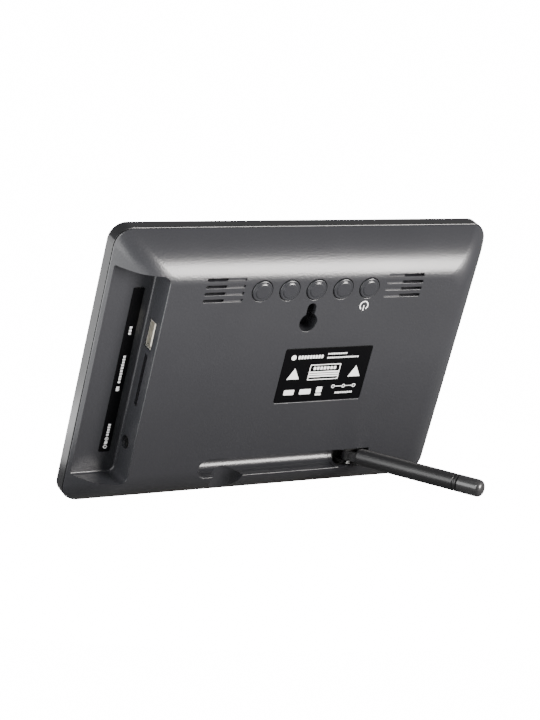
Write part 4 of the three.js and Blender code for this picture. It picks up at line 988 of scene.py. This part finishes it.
def printed(name, outlines, depth, ink, holes=()):
    """Thin raised print: each outline carried out by the ink's thickness, all in one piece.
    A hole is a pair of outlines of equal count, the outer and the inner side of a line."""
    top = depth + ink
    stacks = [((outline, depth), (outline, top)) for outline in outlines]
    stacks += [((outside, depth), (outside, top), (within, top), (within, depth))
               for outside, within in holes]
    points, faces, first = [], [], 0
    for stack in stacks:
        rows = in_frame([at_depth(outline, level) for outline, level in stack])
        points.append(rows.reshape(-1, 3))
        ring = len(stack) > 2
        faces += [[first + i for i in face] for face in grid_faces(*rows.shape[:2], ring)]
        first += len(points[-1])
    piece = put_in_mesh(name, np.concatenate(points), faces, "case")
    paint(piece, bpy.data.materials["white_ink"])
    return piece


def hoop(across, height, radius, stroke, steps=48):
    """The two sides of a printed ring."""
    return circle(across, height, radius + stroke / 2, steps), circle(
        across, height, radius - stroke / 2, steps)


class OBJECT_OT_labels(bpy.types.Operator):
    """Makes the two black labels and the standby sign, with plain marks in place of words"""
    bl_idname = "photo_frame.labels"
    bl_label = "Labels"

    def execute(self, context):
        sizes = context.scene.frame_print
        self.film("rating_label", 1.0)
        self.film("port_label", 0.6)
        self.rating_marks(sizes)
        self.port_marks(sizes)
        self.standby(sizes)
        return {"FINISHED"}

    def film(self, node, corner):
        """A label's film: a rounded rectangle with a softened edge."""
        low, high = extent(node)
        middle, size = (low + high) / 2, high - low
        edge = ((0, low[1]), (0, high[1] - 0.06), (0.02, high[1] - 0.02), (0.06, high[1]))
        film = loft(f"{node}_fine", [
            at_depth(grown(middle[0], middle[2], size[0], size[2], corner, -inset, 6), depth)
            for inset, depth in edge], "case")
        stand_in(film, node, "label_film", 60)

    def rating_marks(self, sizes):
        """Plain white marks: a disc and bars on top, a framed panel between two triangles in the
        middle, and blocks with a row of rings below."""
        low, high = extent("rating_label")
        x, z = (low[0] + high[0]) / 2, (low[2] + high[2]) / 2
        depth = high[1]
        left = high[0] - sizes.margin        # the print's left as it is looked at
        top = high[2]
        marks = [circle(left - 3.7, top - 4.4, 1.3, 24)]
        marks += blocks(left - 5.9, top - 4.4, 13.6, 1.7, 9)
        marks += blocks(left - 21.5, top - 3.2, 10.5, 0.75, 11)
        marks += blocks(left - 21.5, top - 5.2, 17.2, 0.75, 16)
        marks += [triangle(left - 5.8, z + 1.0, 6.6), triangle(left - 38.7, z + 1.0, 6.6)]
        sides = (rounded(x, z + 1.3, 16.4, 8.0, 0.3, 3), rounded(x, z + 1.3, 15.6, 7.2, 0.2, 3))
        marks += blocks(x + 6.4, z + 3.3, 12.6, 1.5, 7)
        marks += [bar(x, z + 1.35 - 1.12 * i, 15.8, 0.72) for i in range(3)]
        marks += [bar(left - 5.6, z - 8.6, 5.4, 2.6), bar(left - 14.2, z - 8.6, 6.0, 2.6),
                  bar(left - 21.6, z - 7.9, 3.0, 3.0), bar(left - 21.6, z - 10.4, 3.0, 0.9)]
        rings = [hoop(left - 28.9 - 5.6 * i, z - 6.6, 0.75, 0.35, 20) for i in range(3)]
        marks += [bar(left - 31.7 - 5.6 * i, z - 6.6, 3.4, 0.3) for i in range(2)]
        marks += blocks(left - 30.6, z - 10.0, 9.6, 0.9, 10)
        printed("rating_label_marks", marks, depth, sizes.ink, [sides, *rings])

    def port_marks(self, sizes):
        """Plain marks beside the sockets: a bar by each, a card's outline and a plug's rings."""
        low, high = extent("port_label")
        x, depth = (low[0] + high[0]) / 2, high[1]
        usb, card, jack = (
            sum(corner[2] for corner in extent(node)) / 2
            for node in ("usb_shell", "card_socket", "dc_jack_pin"))
        marks = upright_blocks(x, usb - 0.6, 4.4, 1.25, 3)
        marks += upright_blocks(x, card + 2.2, 14.0, 1.25, 10)
        marks += [bar(x, card - 7.4, 1.5, 2.2)]
        marks += upright_blocks(x, jack + 4.0, 6.4, 1.25, 5)
        marks += [bar(x, jack - 0.6, 0.3, 2.4), bar(x, jack - 2.6, 1.5, 1.5)]
        rings = [hoop(x, jack + height, 0.75, 0.3, 20) for height in (-4.6, -0.6)]
        printed("port_label_marks", marks, depth, sizes.ink, rings)

    def standby(self, sizes):
        """The standby sign: an open ring, most of a turn of two arcs, and a short upright bar."""
        x, z = sizes.standby_across, sizes.standby_height
        turn = np.linspace(np.radians(-55), np.radians(235), 40)
        outward = np.stack([np.cos(turn), np.sin(turn)], axis=-1)
        outside = outward * (sizes.standby_radius + sizes.stroke / 2)
        within = outward * (sizes.standby_radius - sizes.stroke / 2)
        ring = np.concatenate([outside, within[::-1]]) + (x, z)
        upright = bar(x, z - sizes.standby_radius * 0.6, sizes.stroke, sizes.standby_radius * 1.3)
        printed("standby_sign", [ring, upright], CASE_DEPTH, sizes.ink)


# ---- Stage -----------------------------------------------------------------------------------

OBJECT_MIDDLE = (0, 0, 0.06)

# Each soft light's name, the setting for its power, its place, what it faces, its width and height.
LIGHTS = (
    ("key", "key", (-0.92, 1.48, 0.08), OBJECT_MIDDLE, 0.75, 0.95),
    ("white_wall", "wall", (0.9, -1.45, -0.1), OBJECT_MIDDLE, 1.3, 1.4),
    ("side", "side", (1.2, 0.25, 0.25), OBJECT_MIDDLE, 1.1, 1.1),
    ("rim", "rim", (1.3, -0.7, -0.05), OBJECT_MIDDLE, 0.5, 1.0),
    ("table", "table", (0.35, 0.0, 0.003), (0.35, 0.0, 1), 0.42, 0.7),
    ("glint", "glint", (1.14, 0.7, 1.02), OBJECT_MIDDLE, 0.22, 0.22),
    ("overhead", "top", (0.0, -0.2, 1.5), OBJECT_MIDDLE, 0.9, 0.5),
)


def soft_light(name, power, position, target, wide, tall):
    """A rectangular soft light that faces its target from its position."""
    light = bpy.data.lights.new(name, "AREA")
    light.shape = "RECTANGLE"
    light.size, light.size_y, light.energy = wide, tall, power
    lamp = bpy.data.objects.new(name, light)
    position, target = Vector(position), Vector(target)
    turn = (target - position).to_track_quat("-Z", "Y")
    lamp.matrix_world = Matrix.Translation(position) @ turn.to_matrix().to_4x4()
    bpy.context.scene.collection.objects.link(lamp)
    return light


def bright_to_camera(tree, output, plain, bright):
    """Mixes two shaders: a plain one that lights the object, and a bright one that only the
    camera sees."""
    path = tree.nodes.new("ShaderNodeLightPath")
    mix = tree.nodes.new("ShaderNodeMixShader")
    for source, socket in (
            (path.outputs["Is Camera Ray"], mix.inputs[0]), (plain.outputs[0], mix.inputs[1]),
            (bright.outputs[0], mix.inputs[2]),
            (mix.outputs[0], tree.nodes[output].inputs["Surface"])):
        tree.links.new(source, socket)


class OBJECT_OT_stage(bpy.types.Operator):
    """Makes the pale floor, the studio surround, the soft lights and the camera"""
    bl_idname = "photo_frame.stage"
    bl_label = "Stage"

    def execute(self, context):
        settings = context.scene.frame_stage
        self.floor(settings)
        self.surround(context.scene, settings)
        lights = {
            name: soft_light(name, getattr(settings, setting), *place)
            for name, setting, *place in LIGHTS}
        lights["key"].color = settings.key_colour
        self.camera(context.scene, settings)
        return {"FINISHED"}

    def floor(self, settings):
        """A round pale floor at the height the object stands on: three rings, the inmost one
        filled. The face that would close the outmost ring is left out."""
        rim = np.pad(circle(0, 0, 1, 96), ((0, 0), (0, 1)))
        rows = np.stack([rim * part for part in (0.03, 0.6, 1.0)]) * settings.floor_radius
        faces = grid_faces(3, 96)[:-1]
        mesh = bpy.data.meshes.new("floor")
        mesh.from_pydata(rows.reshape(-1, 3).tolist(), [], faces)
        ground = bpy.data.objects.new("floor", mesh)
        bpy.context.scene.collection.objects.link(ground)
        if mesh.polygons[0].normal.z < 0:
            mesh.flip_normals()
        material = bpy.data.materials.new("pale_floor")
        material.use_nodes = True
        tree = material.node_tree
        plain = tree.nodes["Principled BSDF"]
        plain.inputs["Base Color"].default_value = (*settings.floor, 1)
        plain.inputs["Roughness"].default_value = 0.9
        plain.inputs["Specular IOR Level"].default_value = 0.1
        glow = tree.nodes.new("ShaderNodeEmission")
        glow.inputs["Strength"].default_value = settings.backdrop
        both = tree.nodes.new("ShaderNodeAddShader")
        tree.links.new(plain.outputs[0], both.inputs[0])
        tree.links.new(glow.outputs[0], both.inputs[1])
        bright_to_camera(tree, "Material Output", plain, both)
        paint(ground, material)

    def surround(self, scene, settings):
        """Even white round the studio, brighter where the camera sees it straight on."""
        world = bpy.data.worlds.new("studio")
        scene.world = world
        world.use_nodes = True
        tree = world.node_tree
        plain = tree.nodes["Background"]
        bright = tree.nodes.new("ShaderNodeBackground")
        for light, strength in ((plain, settings.surround), (bright, settings.backdrop)):
            light.inputs["Color"].default_value = (1, 1, 1, 1)
            light.inputs["Strength"].default_value = strength
        bright_to_camera(tree, "World Output", plain, bright)

    def camera(self, scene, settings):
        """A long lens low behind the case, on the side of the sockets."""
        right = Vector((-0.851298, 0.524531, 0.012650))
        up = Vector((-0.041882, -0.091967, 0.994881))
        back = right.cross(up)
        place = Matrix((right, up, back)).transposed().to_4x4()
        place.translation = (0.521171, 0.826074, 0.160556)
        lens = bpy.data.cameras.new("camera")
        lens.lens = settings.lens
        lens.clip_start = 0.01
        camera = bpy.data.objects.new("camera", lens)
        camera.matrix_world = place
        scene.collection.objects.link(camera)
        scene.camera = camera


# ---- Panel and registration ------------------------------------------------------------------

class VIEW3D_PT_photo_frame(bpy.types.Panel):
    """Lists the sizes and the steps"""
    bl_label = "Digital Photo Frame"
    bl_space_type = "VIEW_3D"
    bl_region_type = "UI"
    bl_category = "Photo Frame"

    def draw(self, context):
        for name, _ in SETTINGS:
            group = getattr(context.scene, name)
            column = self.layout.box().column()
            for entry in group.bl_rna.properties:
                if entry.identifier not in {"rna_type", "name"}:
                    column.prop(group, entry.identifier)
        for step in STEPS:
            self.layout.operator(step.bl_idname)


SETTINGS = (
    ("frame_case", CaseSizes), ("frame_back", BackSizes), ("frame_leg", LegSizes),
    ("frame_print", PrintSizes), ("frame_finishes", Finishes), ("frame_stage", StageSettings))
STEPS = (
    OBJECT_OT_stage, OBJECT_OT_finishes, OBJECT_OT_rear_cover, OBJECT_OT_front_bezel,
    OBJECT_OT_buttons, OBJECT_OT_leg, OBJECT_OT_labels)


def register():
    for name, group in SETTINGS:
        bpy.utils.register_class(group)
        setattr(bpy.types.Scene, name, bpy.props.PointerProperty(type=group))
    for step in STEPS:
        bpy.utils.register_class(step)
    bpy.utils.register_class(VIEW3D_PT_photo_frame)


def unregister():
    bpy.utils.unregister_class(VIEW3D_PT_photo_frame)
    for step in reversed(STEPS):
        bpy.utils.unregister_class(step)
    for name, group in reversed(SETTINGS):
        delattr(bpy.types.Scene, name)
        bpy.utils.unregister_class(group)


def main():
    register()
    bpy.ops.photo_frame.stage()
    bpy.ops.photo_frame.finishes()
    bpy.ops.photo_frame.rear_cover()
    bpy.ops.photo_frame.front_bezel()
    bpy.ops.photo_frame.buttons()
    bpy.ops.photo_frame.leg()
    bpy.ops.photo_frame.labels()


if __name__ == "__main__":
    main()
